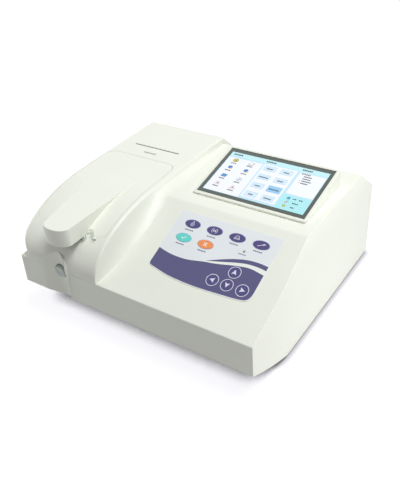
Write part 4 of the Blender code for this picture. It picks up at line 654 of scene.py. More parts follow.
def combine(target: Object, how: Join, *tools: BMesh | Object) -> Object:
    """Joins tools with a target by exact Booleans.

    Args:
        target: The object that changes.
        how: Whether a tool is added, taken away or kept in common.
        tools: The other shapes, as bmeshes or objects, which are used up.

    Returns:
        The target.
    """
    for tool in tools:
        if isinstance(tool, BMesh):
            tool = to_object("tool", tool)
        modifier = target.modifiers.new("join", "BOOLEAN")
        modifier.object = tool
        modifier.operation = how.value
        modifier.solver = "EXACT"
        mesh = worked_out(target)
        target.modifiers.clear()
        old = target.data
        target.data = mesh
        bpy.data.meshes.remove(old)
        bpy.data.objects.remove(tool, do_unlink=True)
    return target


def cut(target: Object, *tools: BMesh | Object) -> Object:
    """Takes each tool out of a target and gives the target back."""
    return combine(target, Join.DIFFERENCE, *tools)


def weld(target: Object, *tools: BMesh | Object) -> Object:
    """Adds each tool to a target as one body and gives the target back."""
    return combine(target, Join.UNION, *tools)


def tube(name: str, points: Sequence[Vector], radius: float, widths: Sequence[float] = ()) -> Object:
    """Sweeps a round section along a line.

    Args:
        name: The object's name.
        points: The middle line.
        radius: The section's radius.
        widths: A share of the radius at each point, or nothing for an even tube.

    Returns:
        The tube as a mesh object with closed ends.
    """
    curve = bpy.data.curves.new(name, "CURVE")
    curve.dimensions = "3D"
    curve.bevel_depth = radius
    curve.bevel_resolution = 5
    curve.use_fill_caps = True
    spline = curve.splines.new("POLY")
    spline.points.add(len(points) - 1)
    for index, (target, point) in enumerate(zip(spline.points, points)):
        target.co = (*point, 1)
        target.radius = widths[index] if widths else 1.0
    line = show(bpy.data.objects.new(name, curve))
    mesh = worked_out(line)
    bpy.data.objects.remove(line, do_unlink=True)
    return clean(show(bpy.data.objects.new(name, mesh)))


def shaped(work: BMesh, matrix: Matrix) -> BMesh:
    """Moves a shape by a matrix."""
    bmesh.ops.transform(work, matrix=matrix, verts=work.verts)
    return work


def clean(made: Object) -> Object:
    """Merges the points that Booleans leave on top of each other and drops faces with no area.

    Args:
        made: The object.

    Returns:
        The same object.
    """
    work = bmesh.new()
    work.from_mesh(made.data)
    bmesh.ops.remove_doubles(work, verts=work.verts, dist=2 * TOUCH)
    bmesh.ops.dissolve_degenerate(work, edges=work.edges, dist=HAIR)
    work.to_mesh(made.data)
    work.free()
    return made


def dress(
    made: Object, finish: Finish, body: str, stands_for: Sequence[str] = (), angle: float = 30.0,
) -> Object:
    """Gives a piece its finish, its shading and the body that it rides on, and reports it.

    Args:
        made: The finished piece.
        finish: Its surface.
        body: The body that it moves with.
        stands_for: The solids that it replaces.
        angle: The least angle in degrees that stays a sharp edge.

    Returns:
        The piece.
    """
    made.data.materials.clear()
    made.data.materials.append(finish.material())
    made.data.polygons.foreach_set("material_index", [0] * len(made.data.polygons))
    made.data.shade_smooth()
    made.data.set_sharp_from_angle(angle=math.radians(angle))
    weighted = made.modifiers.new("even_shading", "WEIGHTED_NORMAL")
    weighted.keep_sharp = True
    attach(made, body)
    if stands_for:
        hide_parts(*stands_for)
    log.info("%s: %d faces on %s", made.name, len(made.data.polygons), body)
    return made


@dataclass(frozen=True)
class CaseForm:
    """The case's sizes and section curves, which the housing, the cover and what sits on them share."""

    low: Vector = field(default_factory=lambda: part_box("housing")[0])
    high: Vector = field(default_factory=lambda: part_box("housing")[1])
    tip_y: float = field(default_factory=lambda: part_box("arm_cover")[0].y)
    sill_height: float = 0.0409
    front_height: float = 0.0462
    panel_run: float = 0.1496
    panel_rise: float = 0.0602
    deck_run: float = 0.1739
    back_slope_drop: float = 0.030
    chin_run: float = 0.0888
    shoulder_height: float = 0.117
    shoulder_lean: float = 0.006
    wall: float = 0.0026
    gap: float = 0.0003
    left_draft: float = 0.0035
    module_inset: float = 0.0045
    module_width: float = 0.1404
    module_splay: float = 0.004
    crown: float = 0.002
    crown_from: float = 0.090
    crown_length: float = 0.210
    nose_run: float = 0.140
    nose_setback: float = 0.0005
    nose_corner: float = 0.0225
    nose_edge: float = 0.0065
    nose_corner_share: float = 0.62
    module_edge: float = 0.0045
    flank_flare: float = 0.024
    flank_length: float = 0.315
    bay_left_margin: float = 0.0070
    bay_right_margin: float = 0.0059
    bay_taper: float = 0.0050
    bay_front: float = 0.0366
    bay_back: float = 0.2111
    bay_corners: Pair = (0.011, 0.017)
    seam: float = 0.0005
    close_fit: float = 0.25
    top_shift: Pair = (-0.0022, -0.0013)
    groove_from_left: float = 0.0745
    groove_radius: float = 0.026
    groove_depth: float = 0.008
    groove_run_in: float = 0.034
    groove_top: float = 0.045
    groove_end: float = 10.0
    groove_steps: int = 24
    chin_bow: float = 0.28
    chin_steps: int = 14
    nose_steps: int = 44
    top_steps: int = 16
    bend: float = 0.004
    bend_steps: int = 6
    flare_power: float = 0.85
    foot_sink: float = 0.0008
    foot_slant: float = 1.4
    foot_rise: float = 1.35
    root_depth: float = 0.006
    edge_share: float = 0.4
    least_edge: float = 0.0004
    flank_bow: Pair = (0.25, 0.18)
    flank_steps: int = 12
    corner_steps: int = 8
    bay_root: float = 0.030
    bay_steps: int = 12

    @property
    def z_sill(self) -> float:
        """Height of the front face's lower edge."""
        return self.low.z + self.sill_height

    @property
    def z_ledge(self) -> float:
        """Height of the ledge and of the panel's front edge."""
        return self.z_sill + self.front_height

    @property
    def z_deck(self) -> float:
        """Height of the flat deck."""
        return self.z_ledge + self.panel_rise

    @property
    def module_rise(self) -> float:
        """Height of the raised module over the ledge."""
        return self.high.z - self.z_ledge

    @property
    def module_left(self) -> float:
        """The module's left side."""
        return self.low.x + self.module_inset

    @property
    def module_right(self) -> float:
        """The right edge of the module's top."""
        return self.module_left + self.module_width

    @property
    def block_left(self) -> float:
        """The right block's left end, inside the module."""
        return self.module_right - 3 * self.wall

    @property
    def bay(self) -> Quad:
        """The bay in plan: left, front, right and back."""
        left, right = self.module_left + self.bay_left_margin, self.module_right - self.bay_right_margin
        return left, self.low.y + self.bay_front, right, self.low.y + self.bay_back

    @property
    def slot_x(self) -> float:
        """The middle of the paper slot and of the latch."""
        low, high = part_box("cover_latch")
        return (low.x + high.x) / 2 + self.top_shift[0]

    @property
    def groove_x(self) -> float:
        """The middle of the sample groove."""
        return self.low.x + self.groove_from_left

    @property
    def panel_frame(self) -> Matrix:
        """A frame on the sloping panel, with its origin at the panel's right front corner."""
        angle = math.atan2(self.panel_rise, self.panel_run)
        return Matrix.Translation((self.high.x, self.low.y, self.z_ledge)) @ Matrix.Rotation(angle, 4, "X")

    def deck_height(self, run: float) -> float:
        """Height of the right block's top.

        Args:
            run: The distance behind the front face.

        Returns:
            The height of the panel, the deck or the back slope there.
        """
        if run < self.panel_run:
            return self.z_ledge + self.panel_rise * run / self.panel_run
        back = self.panel_run + self.deck_run
        if run < back:
            return self.z_deck
        depth = self.high.y - self.low.y
        return self.z_deck - self.back_slope_drop * (run - back) / (depth - back)

    def crown_height(self, run: float) -> float:
        """How far the module's long top has risen at a distance behind the front face."""
        share = min(1.0, max(0.0, (run - self.crown_from) / self.crown_length))
        return self.crown * eased(share)

    def nose_height(self, run: float) -> float:
        """Height of the module's top at a distance behind the front face."""
        share = max(0.0, 1 - run / self.nose_run)
        return self.z_ledge + self.module_rise * math.sqrt(1 - share * share) + self.crown_height(run)

    def nose_place(self, height: float) -> float:
        """Distance behind the front face at which the nose has a height."""
        share = (height - self.z_ledge) / self.module_rise
        return self.nose_run * (1 - math.sqrt(1 - share * share))

    def wall_frame(self, x: float, height: float) -> Matrix:
        """A frame on the curved nose, with Z along its outward normal.

        Args:
            x: Where the frame lies across the case.
            height: Its height.

        Returns:
            The frame.
        """
        run = self.nose_place(height)
        step = 0.0005
        rise = (self.nose_height(run + step) - self.nose_height(run - step)) / (2 * step)
        turn = Vector((0, 0, 1)).rotation_difference(Vector((0, -rise, 1)).normalized())
        return Matrix.Translation((x, self.low.y + run, height)) @ turn.to_matrix().to_4x4()

    def chin(self) -> list[Pair]:
        """The curved chin from the kink forwards to the front face.

        Returns:
            Its points from the side.
        """
        points = []
        for share in shares(self.chin_steps)[:-1]:
            rise = self.sill_height * ((1 - self.chin_bow) * share + self.chin_bow * share * share)
            points.append((self.low.y + self.chin_run * (1 - share), self.low.z + rise))
        return points

    def side_outline(self) -> list[Pair]:
        """The right block's corners from the side, with the underside and the chin last.

        Returns:
            The corners in order.
        """
        y, z = self.low.y, self.low.z
        back = y + self.panel_run + self.deck_run
        return [
            (y, self.z_sill), (y, self.z_ledge), (y + self.panel_run, self.z_deck), (back, self.z_deck),
            (self.high.y, self.z_deck - self.back_slope_drop), (self.high.y, z),
        ] + self.chin()

    def low_outline(self) -> list[Pair]:
        """The left base's corners from the side, which stop at the ledge."""
        y, z = self.low.y, self.z_ledge
        return [(y, self.z_sill), (y, z), (self.high.y, z), (self.high.y, self.low.z)] + self.chin()

    def module_outline(self) -> list[Pair]:
        """The module from the side: curved nose, flat top and back slope.

        Returns:
            The points of its top, from the front to the back.
        """
        first = math.degrees(math.acos(1 - self.nose_setback / self.nose_run))
        points = []
        for share in shares(self.nose_steps):
            angle = math.radians(first + (90 - first) * share)
            run = self.nose_run * (1 - math.cos(angle))
            points.append((self.low.y + run, self.nose_height(run)))
        back = self.panel_run + self.deck_run
        for share in shares(self.top_steps)[1:]:
            run = self.nose_run + (back - self.bend - self.nose_run) * share
            points.append((self.low.y + run, self.nose_height(run)))
        fall = self.back_slope_drop / (self.high.y - self.low.y - back)
        top = self.high.z + self.crown
        for share in shares(self.bend_steps)[1:]:
            y = self.low.y + back + self.bend * (2 * share - 1)
            points.append((y, top - fall * self.bend * share * share))
        points.append((self.high.y, top - self.back_slope_drop))
        return points

    def flare(self, run: float) -> float:
        """How far the foot of the right flank stands out from the module's top edge."""
        share = min(1.0, max(0.0, run / self.flank_length)) ** self.flare_power
        return self.flank_flare * math.sin(math.pi * share)

    def module_ring(self, y: float, top: float, inset: float) -> list[Triple]:
        """One cross-section of the module.

        Args:
            y: Where the section lies.
            top: The height of the module's top there.
            inset: How far the section is drawn in for the inside of the wall.

        Returns:
            The section's points, from the left foot over the top to the flank's foot.
        """
        run = max(0.0, y - self.low.y)
        corner = 0.0
        if run < self.nose_corner:
            corner = self.nose_corner - math.sqrt(self.nose_corner ** 2 - (self.nose_corner - run) ** 2)
        splay = self.module_splay * run / (self.high.y - self.low.y)
        left = self.module_left - splay + min(corner, self.nose_corner_share * self.nose_corner) + inset
        right = self.module_right - inset
        foot_x = self.module_right + self.flare(run) - self.foot_slant * inset
        foot_z = self.deck_height(run) - (self.foot_sink if inset == 0 else self.foot_rise * inset)
        low = self.z_ledge - self.root_depth * (1 if inset == 0 else 2)
        radius = min(self.module_edge, self.edge_share * (top - foot_z), self.edge_share * (top - low))
        radius = max(radius - inset, self.least_edge)
        share = min(1.0, run / self.nose_run)
        soft = self.nose_edge + (self.module_edge - self.nose_edge) * share * share
        soft = max(min(soft, self.edge_share * (top - low)) - inset, self.least_edge)
        ring = [(left, low)]
        ring += arc((left + soft, top - soft), soft, 180, 90, self.corner_steps)
        ring += arc((right - radius, top - radius), radius, 90, 20, self.corner_steps)
        edge = ring[-1]
        bow_x, bow_z = self.flank_bow
        bow = (edge[0] + bow_x * (foot_x - edge[0]), foot_z + bow_z * (edge[1] - foot_z))
        for share in shares(self.flank_steps)[1:-1]:
            parts = ((1 - share) ** 2, 2 * share * (1 - share), share ** 2)
            ring.append(tuple(
                sum(part * value for part, value in zip(parts, values))
                for values in zip(edge, bow, (foot_x, foot_z))
            ))
        ring += [(foot_x, foot_z), (foot_x, low)]
        return [(x, y, z) for x, z in ring]

    def module_solid(self, inset: float) -> BMesh:
        """The raised module as a solid.

        Args:
            inset: How far it is drawn in, 0 for the outside.

        Returns:
            The closed shape.
        """
        path = self.module_outline()
        foot = self.z_ledge - FAR_PAST
        closed = path + [(self.high.y, foot), (path[0][0], foot)]
        moved = inset_outline(closed, [inset] * len(closed))[: len(path)]
        return loft([self.module_ring(y, top, inset) for y, top in moved])

    def groove_solid(self, grow: float) -> BMesh:
        """The scoop for the sample tube, which runs in gently on the left and ends round on the right.

        Args:
            grow: How far the scoop is grown for the outside of its wall.

        Returns:
            The cutter.
        """
        front, radius, run_in = self.low.y, self.groove_radius + grow, self.groove_run_in + grow
        centre = (self.groove_x, front + self.groove_depth - self.groove_radius)
        outline = [(self.groove_x - run_in, front - PAST)]
        for share in shares(self.groove_steps):
            depth = (self.groove_depth + grow) * (0.5 - 0.5 * math.cos(math.pi * share))
            outline.append((self.groove_x - run_in * (1 - share), front + depth))
        outline += arc(centre, radius, 90, self.groove_end, 40)[1:]
        outline.append((outline[-1][0], front - PAST))
        return prism(Axis.Z, outline, self.low.z - PAST, self.z_ledge + self.groove_top + grow)

    def groove_lip(self) -> list[Vector]:
        """The scoop's edge from the chin up its right side to the top of its arch.

        Returns:
            The points of the edge.
        """
        path = []
        crest = self.nose_height(self.groove_depth)
        levels = [self.z_sill + (self.z_ledge - self.z_sill) * share for share in shares(8)]
        for share in shares(self.groove_steps)[1:]:
            levels.append(self.z_ledge + (crest - self.z_ledge) * math.sin(math.pi / 2 * share))
        for level in levels:
            run = self.nose_place(level) if level > self.z_ledge else 0.0
            reach = self.groove_radius - self.groove_depth + run
            half = math.sqrt(max(0.0, self.groove_radius ** 2 - reach ** 2))
            path.append(Vector((self.groove_x + half, self.low.y + run, level)))
        return path

    def bay_outline(self, shrink: float) -> list[Pair]:
        """The cover's seam in plan, a little wider at the back on the left and at the front on the right.

        Args:
            shrink: How far the seam is drawn in from the bay's edge.

        Returns:
            The outline's points.
        """
        x0, y0, x1, y1 = self.bay
        taper = self.bay_taper
        corners = [
            (x0 + shrink, y0 + self.close_fit * shrink), (x1 - shrink, y0 + self.close_fit * shrink),
            (x1 - taper - shrink, y1 - shrink), (x0 - taper + shrink, y1 - shrink),
        ]
        front, back = self.bay_corners
        return fillet(corners, [front - shrink, front - shrink, back - shrink, back - shrink], self.bay_steps)


@dataclass(frozen=True)
class ScreenForm:
    """The tilted screen's sizes and its frame."""

    width: float = 0.165
    depth: float = 0.100
    tilt: float = math.radians(12.2)
    from_right: float = 0.1073
    run: float = 0.2259
    height: float = 0.1609
    glass: float = 0.0018
    display: float = 0.0050
    rim: float = 0.0045
    lip: float = 0.0008
    sleeve: float = 0.0019
    ledge: float = 0.0030
    corner: float = 0.004
    border_x: float = 0.00545
    border_y: float = 0.00705

    def matrix(self, case: CaseForm) -> Matrix:
        """The screen's own frame, with its origin in the middle of the glass."""
        spot = (case.high.x - self.from_right, case.low.y + self.run, case.low.z + self.height)
        return Matrix.Translation(spot) @ Matrix.Rotation(self.tilt, 4, "X")

    def slab(self, case: CaseForm, grow: float, low: float, high: float) -> BMesh:
        """A slab across the screen, grown past the glass by a distance, between two levels from the glass."""
        outline = centred((0, 0), (self.width / 2 + grow, self.depth / 2 + grow))
        return shaped(prism(Axis.Z, outline, low, high), self.matrix(case))


@dataclass
class Housing:
    """The one-piece moulded case with its bay, slot, screen hole, groove and rear opening."""

    case: CaseForm
    screen: ScreenForm
    slot_width: float = 0.0846
    slot_gap: float = 0.0022
    slot_run: float = 0.2448
    latch_run: float = 0.2300
    latch_width: float = 0.0225
    latch_depth: float = 0.0070
    left_flare: float = 0.0015
    lip_radius: float = 0.0022
    latch_travel: float = 0.0025
    led: Pair = (0.0713, 0.1136)
    led_radius: float = 0.0014
    button_height: float = 0.080
    button_radius: float = 0.0085
    button_travel: float = 0.003
    button_clearance: float = 0.0020
    stem_radius: float = 0.0032
    edge_round: float = 0.0014
    low_edge_round: float = 0.0010
    side_radii: tuple[float, ...] = (0.0010, 0.0022, 0.010, 0.006, 0.0025)
    base_radii: tuple[float, ...] = (0.0010, 0.0010, 0.0020)
    open_depth: float = 0.006
    overlap: float = 0.002
    band: float = 0.0005
    slot_corner: float = 0.001
    latch_margin: float = 0.001
    screen_depth: float = 0.034
    lip_ends: Pair = (0.45, 0.25)
    lip_runs: Pair = (6.0, 10.0)
    stem_reach: float = 0.03
    rear_lip: float = 0.003

    def skin(self, outline: list[Pair], radii: Sequence[float], inset: float) -> list[Pair]:
        """Rounds a side outline, or draws it in by the wall and lets it run out at the open underside.

        Args:
            outline: The corners from the side, with the underside and the chin last.
            radii: The radius of each corner before them.
            inset: How far it is drawn in, 0 for the outside.

        Returns:
            The outline's points.
        """
        rest = len(outline) - len(radii)
        if inset:
            return inset_outline(outline, [inset] * len(radii) + [-self.open_depth] * rest)
        return fillet(outline, [*radii, *[0.0] * rest])

    def block_solid(self, inset: float) -> Object:
        """The right block, round at its edges outside and plain inside.

        Args:
            inset: How far it is drawn in, 0 for the outside.

        Returns:
            The block as an object.
        """
        case = self.case
        outline = self.skin(case.side_outline(), self.side_radii, inset)
        work = prism(Axis.X, outline, case.block_left - inset, case.high.x - inset)
        self.lean_right(work, inset)
        if not inset:
            limit = case.high.x - case.shoulder_lean - self.band
            edges = [edge for edge in sharp_edges(work) if min(v.co.x for v in edge.verts) > limit]
            round_edges(work, edges, self.edge_round)
        return to_object("housing", work)

    def lean_right(self, work: BMesh, inset: float) -> None:
        """Cuts the upper part of the right wall to its inward lean and closes the cut.

        Args:
            work: The right block.
            inset: How far it is drawn in, 0 for the outside.
        """
        case = self.case
        foot = Vector((case.high.x, 0, case.low.z + case.shoulder_height))
        slope = Vector((-case.shoulder_lean, 0, case.z_deck - foot.z)).normalized()
        normal = Vector((slope.z, 0, -slope.x))
        result = bmesh.ops.bisect_plane(
            work, geom=work.verts[:] + work.edges[:] + work.faces[:], dist=HAIR,
            plane_co=foot - normal * inset, plane_no=normal, clear_outer=True,
        )
        edges = [item for item in result["geom_cut"] if isinstance(item, BMEdge)]
        bmesh.ops.contextual_create(work, geom=edges)
        bmesh.ops.recalc_face_normals(work, faces=work.faces)

    def left_solid(self, inset: float) -> BMesh:
        """The low left base under the ledge, with its draft.

        Args:
            inset: How far it is drawn in, 0 for the outside.

        Returns:
            The closed shape.
        """
        case = self.case
        outline = self.skin(case.low_outline(), self.base_radii, inset)
        work = prism(Axis.X, outline, case.low.x - self.left_flare + inset, case.block_left + self.overlap)
        rate = (case.left_draft + self.left_flare) / (case.z_ledge - case.low.z)
        for vertex in work.verts:
            if vertex.co.x < case.module_left:
                vertex.co.x += rate * (vertex.co.z - case.low.z)
        if not inset:
            limit = case.low.x + case.left_draft + self.band
            edges = [edge for edge in sharp_edges(work) if max(v.co.x for v in edge.verts) < limit]
            round_edges(work, edges, self.low_edge_round)
        return work

    def solid(self, inset: float) -> Object:
        """The whole case as one solid, or the hollow inside its wall.

        Args:
            inset: How far it is drawn in, 0 for the outside.

        Returns:
            The solid as an object.
        """
        case = self.case
        made = self.block_solid(inset)
        weld(made, self.left_solid(inset), case.module_solid(inset))
        return cut(made, case.groove_solid(case.wall if inset else 0.0))

    def shell(self) -> Object:
        """The closed shell before its holes are cut, which the cover's own sheet is cut from too."""
        return cut(self.solid(0.0), self.solid(self.case.wall))

    def cut_top(self, made: Object) -> None:
        """Cuts the bay, the paper slot, the latch window, the screen's hole and the lamp's window.

        Args:
            made: The housing.
        """
        case = self.case
        top, shift = case.high.z, case.top_shift[1]
        cut(made, prism(Axis.Z, case.bay_outline(0), case.z_ledge + case.bay_root, top + FAR_PAST))
        centre = (case.slot_x, case.low.y + self.slot_run + shift)
        slot = centred(centre, (self.slot_width / 2, self.slot_gap / 2), self.slot_corner, 4)
        cut(made, prism(Axis.Z, slot, top - PAST, top + PAST))
        y = case.low.y + self.latch_run + shift
        half = self.latch_width / 2 - case.wall + case.gap
        reach = self.latch_depth / 2 - self.latch_margin + case.gap
        cut(made, block(
            (case.slot_x - half, y - reach, top - PAST),
            (case.slot_x + half, y + reach + self.latch_travel, top + PAST),
        ))
        grow = self.screen.sleeve + 2 * case.gap
        cut(made, self.screen.slab(case, grow, -self.screen_depth, FAR_PAST))
        window = rod(Axis.Z, (-self.led[0], self.led[1], -PAST), self.led_radius + case.gap, 2 * PAST, 24)
        cut(made, shaped(window, case.panel_frame))

    def cut_front(self, made: Object, hoses: Sequence[BMesh]) -> None:
        """Adds the button's seat in the groove and cuts its well, the stem's hole and the hose's holes.

        Args:
            made: The housing.
            hoses: The cutters for the bush and the hose in the nose.
        """
        case = self.case
        z = case.low.z + self.button_height
        bore = self.button_radius + self.button_clearance
        seat_end = case.wall + self.button_travel + case.wall / 2
        seat = (case.groove_x, case.low.y + case.groove_depth, z)
        weld(made, rod(Axis.Y, seat, bore + case.wall, seat_end, 64))
        lip = case.groove_lip()
        last = len(lip) - 1
        (foot, head), (rise, fall) = self.lip_ends, self.lip_runs
        widths = [min(1.0, foot + step / rise, head + (last - step) / fall) for step in range(last + 1)]
        weld(made, tube("groove_lip", lip, self.lip_radius, widths))
        well = case.groove_depth + case.wall / 2 + self.button_travel
        cut(
            made,
            rod(Axis.Y, (case.groove_x, case.low.y - PAST, z), bore, PAST + well, 64),
            rod(Axis.Y, (case.groove_x, case.low.y, z), self.stem_radius + case.gap, self.stem_reach, 32),
            *hoses,
        )

    def cut_rear(self, made: Object) -> None:
        """Cuts the rear opening and adds the rim that carries the rear panel.

        Args:
            made: The housing.
        """
        case = self.case
        low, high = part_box("rear_panel")
        wall, lip, back = case.wall, self.rear_lip, case.high.y
        x0, z0, x1, z1 = low.x - case.gap, low.z - case.gap, high.x + case.gap, high.z + case.gap
        cut(made, block((x0, low.y - FAR_PAST, z0), (x1, back + PAST, z1)))
        rim = to_object("rim", block(
            (x0 - wall, low.y - wall, z0 - wall), (x1 + wall, back - wall / 2, z1 + wall),
        ))
        cut(
            rim,
            block((x0, low.y - case.gap, z0), (x1, back + PAST, z1)),
            block((x0 + lip, low.y - FAR_PAST, z0 + lip), (x1 - lip, back, z1 - lip)),
        )
        weld(made, rim)

    def build(self, hoses: Sequence[BMesh]) -> Object:
        """Builds the housing.

        Args:
            hoses: The cutters for the bush and the hose in the nose.

        Returns:
            A copy of the bare shell, from which the cover's sheet is cut.
        """
        made = self.shell()
        bare = show(made.copy())
        bare.data = made.data.copy()
        self.cut_top(made)
        self.cut_front(made, hoses)
        self.cut_rear(made)
        made.name = "case_shell"
        dress(clean(made), IVORY, "case", ["housing"])
        return bare


@dataclass
class ArmCover:
    """The lift-off cover over the bay, with its hollow tongue over the groove."""

    case: CaseForm
    tip_width: float = 0.0446
    root_width: float = 0.0830
    root: float = 0.160
    drop: float = 0.0255
    rise: float = 0.0010
    rib_depth: float = 0.0050
    left_edge: float = 0.0050
    right_edge: float = 0.0010
    sink: float = 0.0010
    sink_from: float = 0.135
    from_bay: float = 0.0320
    tip_bow: float = 0.62
    tip_steps: int = 36
    side_depth: float = 0.006
    edge_steps: int = 10
    sink_steps: int = 12
    front_clearance: float = 0.0006
    roof: float = 0.001
    rib_width: float = 0.0015
    rib_runs: Pair = (0.150, 0.198)

    @property
    def right(self) -> float:
        """The tongue's straight right side."""
        return self.case.bay[2] - self.from_bay

    @property
    def top(self) -> float:
        """Height of the tongue's top."""
        return self.case.high.z + self.rise

    def outline(self, left: float, right: float) -> list[Pair]:
        """The tongue in plan: straight right side, round tip, and a left side that spreads to the root.

        Args:
            left: How far the left side is drawn in.
            right: How far the right side and the tip are drawn in.

        Returns:
            The outline's points.
        """
        x1 = self.right - right
        x0 = self.right - self.tip_width + left
        half = (x1 - x0) / 2
        middle = (x0 + x1) / 2
        tip = self.case.tip_y + right
        root = self.case.low.y + self.root
        nose = [
            (middle + half * math.cos(a), tip + half * self.tip_bow * (1 + math.sin(a)))
            for a in [math.pi * (share - 1) for share in shares(self.tip_steps)]
        ]
        return nose + [(x1, root), (x0 - self.root_width + self.tip_width, root)]

    def tongue(self) -> Object:
        """The tongue's outer form, with a crisp right edge and a soft left one, sunk to level at its root.

        Returns:
            The tongue as an object.
        """
        case = self.case
        edge = [self.left_edge * (1 - share) ** 2 for share in shares(self.edge_steps)[1:]]
        rings = []
        for depth in (self.drop, self.side_depth, *edge):
            left, right = (
                radius - math.sqrt(radius ** 2 - max(0.0, radius - depth) ** 2)
                for radius in (self.left_edge, self.right_edge)
            )
            rings.append([place(Axis.Z, pair, self.top - depth) for pair in self.outline(left, right)])
        work = loft(rings)
        start, root = case.low.y + self.sink_from, case.low.y + self.root
        for share in shares(self.sink_steps)[:-1]:
            bmesh.ops.bisect_plane(
                work, geom=work.verts[:] + work.edges[:] + work.faces[:], dist=HAIR,
                plane_co=(0, start + (root - start) * share, 0), plane_no=(0, 1, 0),
            )
        for vertex in work.verts:
            share = max(0.0, min(1.0, (vertex.co.y - start) / (root - start)))
            if vertex.co.z > self.top - self.left_edge - TOUCH:
                vertex.co.z -= self.sink * eased(share)
        bmesh.ops.recalc_face_normals(work, faces=work.faces)
        return to_object("tongue", work)

    def build(self, bare: Object) -> None:
        """Cuts the cover's sheet from the bare shell and adds the tongue and the ribs.

        Args:
            bare: The case's shell with no holes, which is used up.
        """
        case = self.case
        top = case.high.z
        seam = prism(Axis.Z, case.bay_outline(case.seam), case.z_ledge + case.bay_root, top + FAR_PAST)
        sheet = combine(bare, Join.INTERSECT, seam)
        tongue = cut(self.tongue(), case.module_solid(case.wall / 2))
        over = to_object("over", case.module_solid(-self.front_clearance))
        front = block(
            (case.low.x, case.low.y - FAR_PAST, case.low.z),
            (case.high.x, case.low.y + case.bay_front + case.seam, top + CLEAR),
        )
        combine(over, Join.INTERSECT, front)
        cut(tongue, over)
        weld(sheet, tongue)
        hollow = self.outline(case.wall, case.wall)
        cut(sheet, prism(Axis.Z, hollow, self.top - CLEAR, self.top - case.wall - self.roof))
        x0, _, x1, _ = case.bay
        for left in (x0 + case.seam, x1 - case.bay_taper - case.seam - self.rib_width):
            weld(sheet, block(
                (left, case.low.y + self.rib_runs[0], top - case.wall - self.rib_depth),
                (left + self.rib_width, case.low.y + self.rib_runs[1], top - case.wall / 2),
            ))
        sheet.name = "cover_shell"
        dress(clean(sheet), IVORY, "cover", ["arm_cover"])


@dataclass
class Latch:
    """The small raised tab behind the cover."""

    case: CaseForm
    housing: Housing
    proud: float = 0.0020
    corner: float = 0.0015
    edge_round: float = 0.0006
    overlap: float = 0.001
    keeper_gap: float = 0.0045
    keeper_depth: float = 0.0018

    def build(self) -> None:
        """Builds the tab with its neck and its keeper."""
        case = self.case
        x, y = case.slot_x, case.low.y + self.housing.latch_run + case.top_shift[1]
        half_x, half_y = self.housing.latch_width / 2, self.housing.latch_depth / 2
        top = case.nose_height(y - case.low.y)
        under = top - case.wall
        tab = centred((x, y), (half_x, half_y), self.corner)
        work = prism(Axis.Z, tab, top + case.gap, top + self.proud)
        round_edges(work, edges_over(work, top + self.proud), self.edge_round)
        made = to_object("latch_tab", work)
        neck = centred((x, y), (half_x - case.wall, half_y - self.overlap))
        weld(made, prism(Axis.Z, neck, under - self.overlap, top + self.overlap))
        weld(made, block(
            (x - half_x, case.bay[3] + self.keeper_gap, under - self.keeper_depth),
            (x + half_x, y + half_y + self.overlap, under - case.gap),
        ))
        dress(clean(made), IVORY, "latch", ["cover_latch"])


@dataclass
class PaperGuide:
    """The dark lip under the paper slot, which leads the paper out; its dark brown is painted shade that
    makes the slot read dark.
    """

    case: CaseForm
    housing: Housing
    depth: float = 0.0060
    thick: float = 0.0012
    mouth: float = 0.0009
    sunk: float = 0.0006
    fit: float = 0.0001
    lip_depth: float = 0.0020
    margin: float = 0.002

    def build(self) -> None:
        """Builds the lip with its narrow mouth."""
        case, slot = self.case, self.housing
        centre = (case.slot_x, case.low.y + slot.slot_run + case.top_shift[1])
        half = slot.slot_width / 2
        top = case.nose_height(centre[1] - case.low.y) - self.sunk
        under = top - case.wall
        lip = centred(centre, (half - case.gap, slot.slot_gap / 2 - self.fit))
        made = to_object("paper_guide", prism(Axis.Z, lip, top - self.lip_depth, top))
        flange = centred(centre, (half + self.margin, self.depth / 2))
        weld(made, prism(Axis.Z, flange, under - self.thick, under + case.gap))
        mouth = centred(centre, (half - self.margin, self.mouth / 2))
        cut(made, prism(Axis.Z, mouth, top - FAR_PAST, top + FAR_PAST))
        # The dark finish is painted shade for the inside of the paper slot.
        dress(clean(made), PAINTED_SLOT_SHADE, "case")


@dataclass
class PrintSheet:
    """Thin fields of colour laid on a flat face, each a few hundredths of a millimetre over the last."""

    matrix: Matrix
    level: float
    body: str = "case"
    thickness: float = 0.00004
    mark_pitch: float = 2.4
    mark_share: float = 0.8
    fields: dict[Finish, list[tuple[list[Pair], int]]] = field(default_factory=dict)

    def add(self, finish: Finish, outline: Sequence[Pair], order: int) -> None:
        """Lays one field, in millimetres, on the layer of its order."""
        self.fields.setdefault(finish, []).append(([(x * MM, y * MM) for x, y in outline], order))

    def marks(self, finish: Finish, x: float, y: float, length: float, height: float, order: int) -> None:
        """Lays a row of short plain bars in place of a word.

        Args:
            finish: The bars' colour.
            x: Where the row starts.
            y: Its middle line.
            length: Its length.
            height: The bars' height.
            order: The layer that they lie on.
        """
        count = max(2, round(length / self.mark_pitch))
        pitch = length / count
        for index in range(count):
            left = x + pitch * index
            right = left + self.mark_share * pitch
            self.add(finish, rectangle(left, y - height / 2, right, y + height / 2), order)

    def build(self, prefix: str) -> None:
        """Makes one piece of each colour's fields.

        Args:
            prefix: The first part of the pieces' names.
        """
        for finish, outlines in self.fields.items():
            whole = bmesh.new()
            for outline, order in outlines:
                start = self.level + self.thickness * order
                part = prism(Axis.Z, outline, start, start + self.thickness)
                mesh = bpy.data.meshes.new("part")
                part.to_mesh(mesh)
                part.free()
                whole.from_mesh(mesh)
                bpy.data.meshes.remove(mesh)
            dress(to_object(f"{prefix}_{finish.name}", shaped(whole, self.matrix)), finish, self.body)


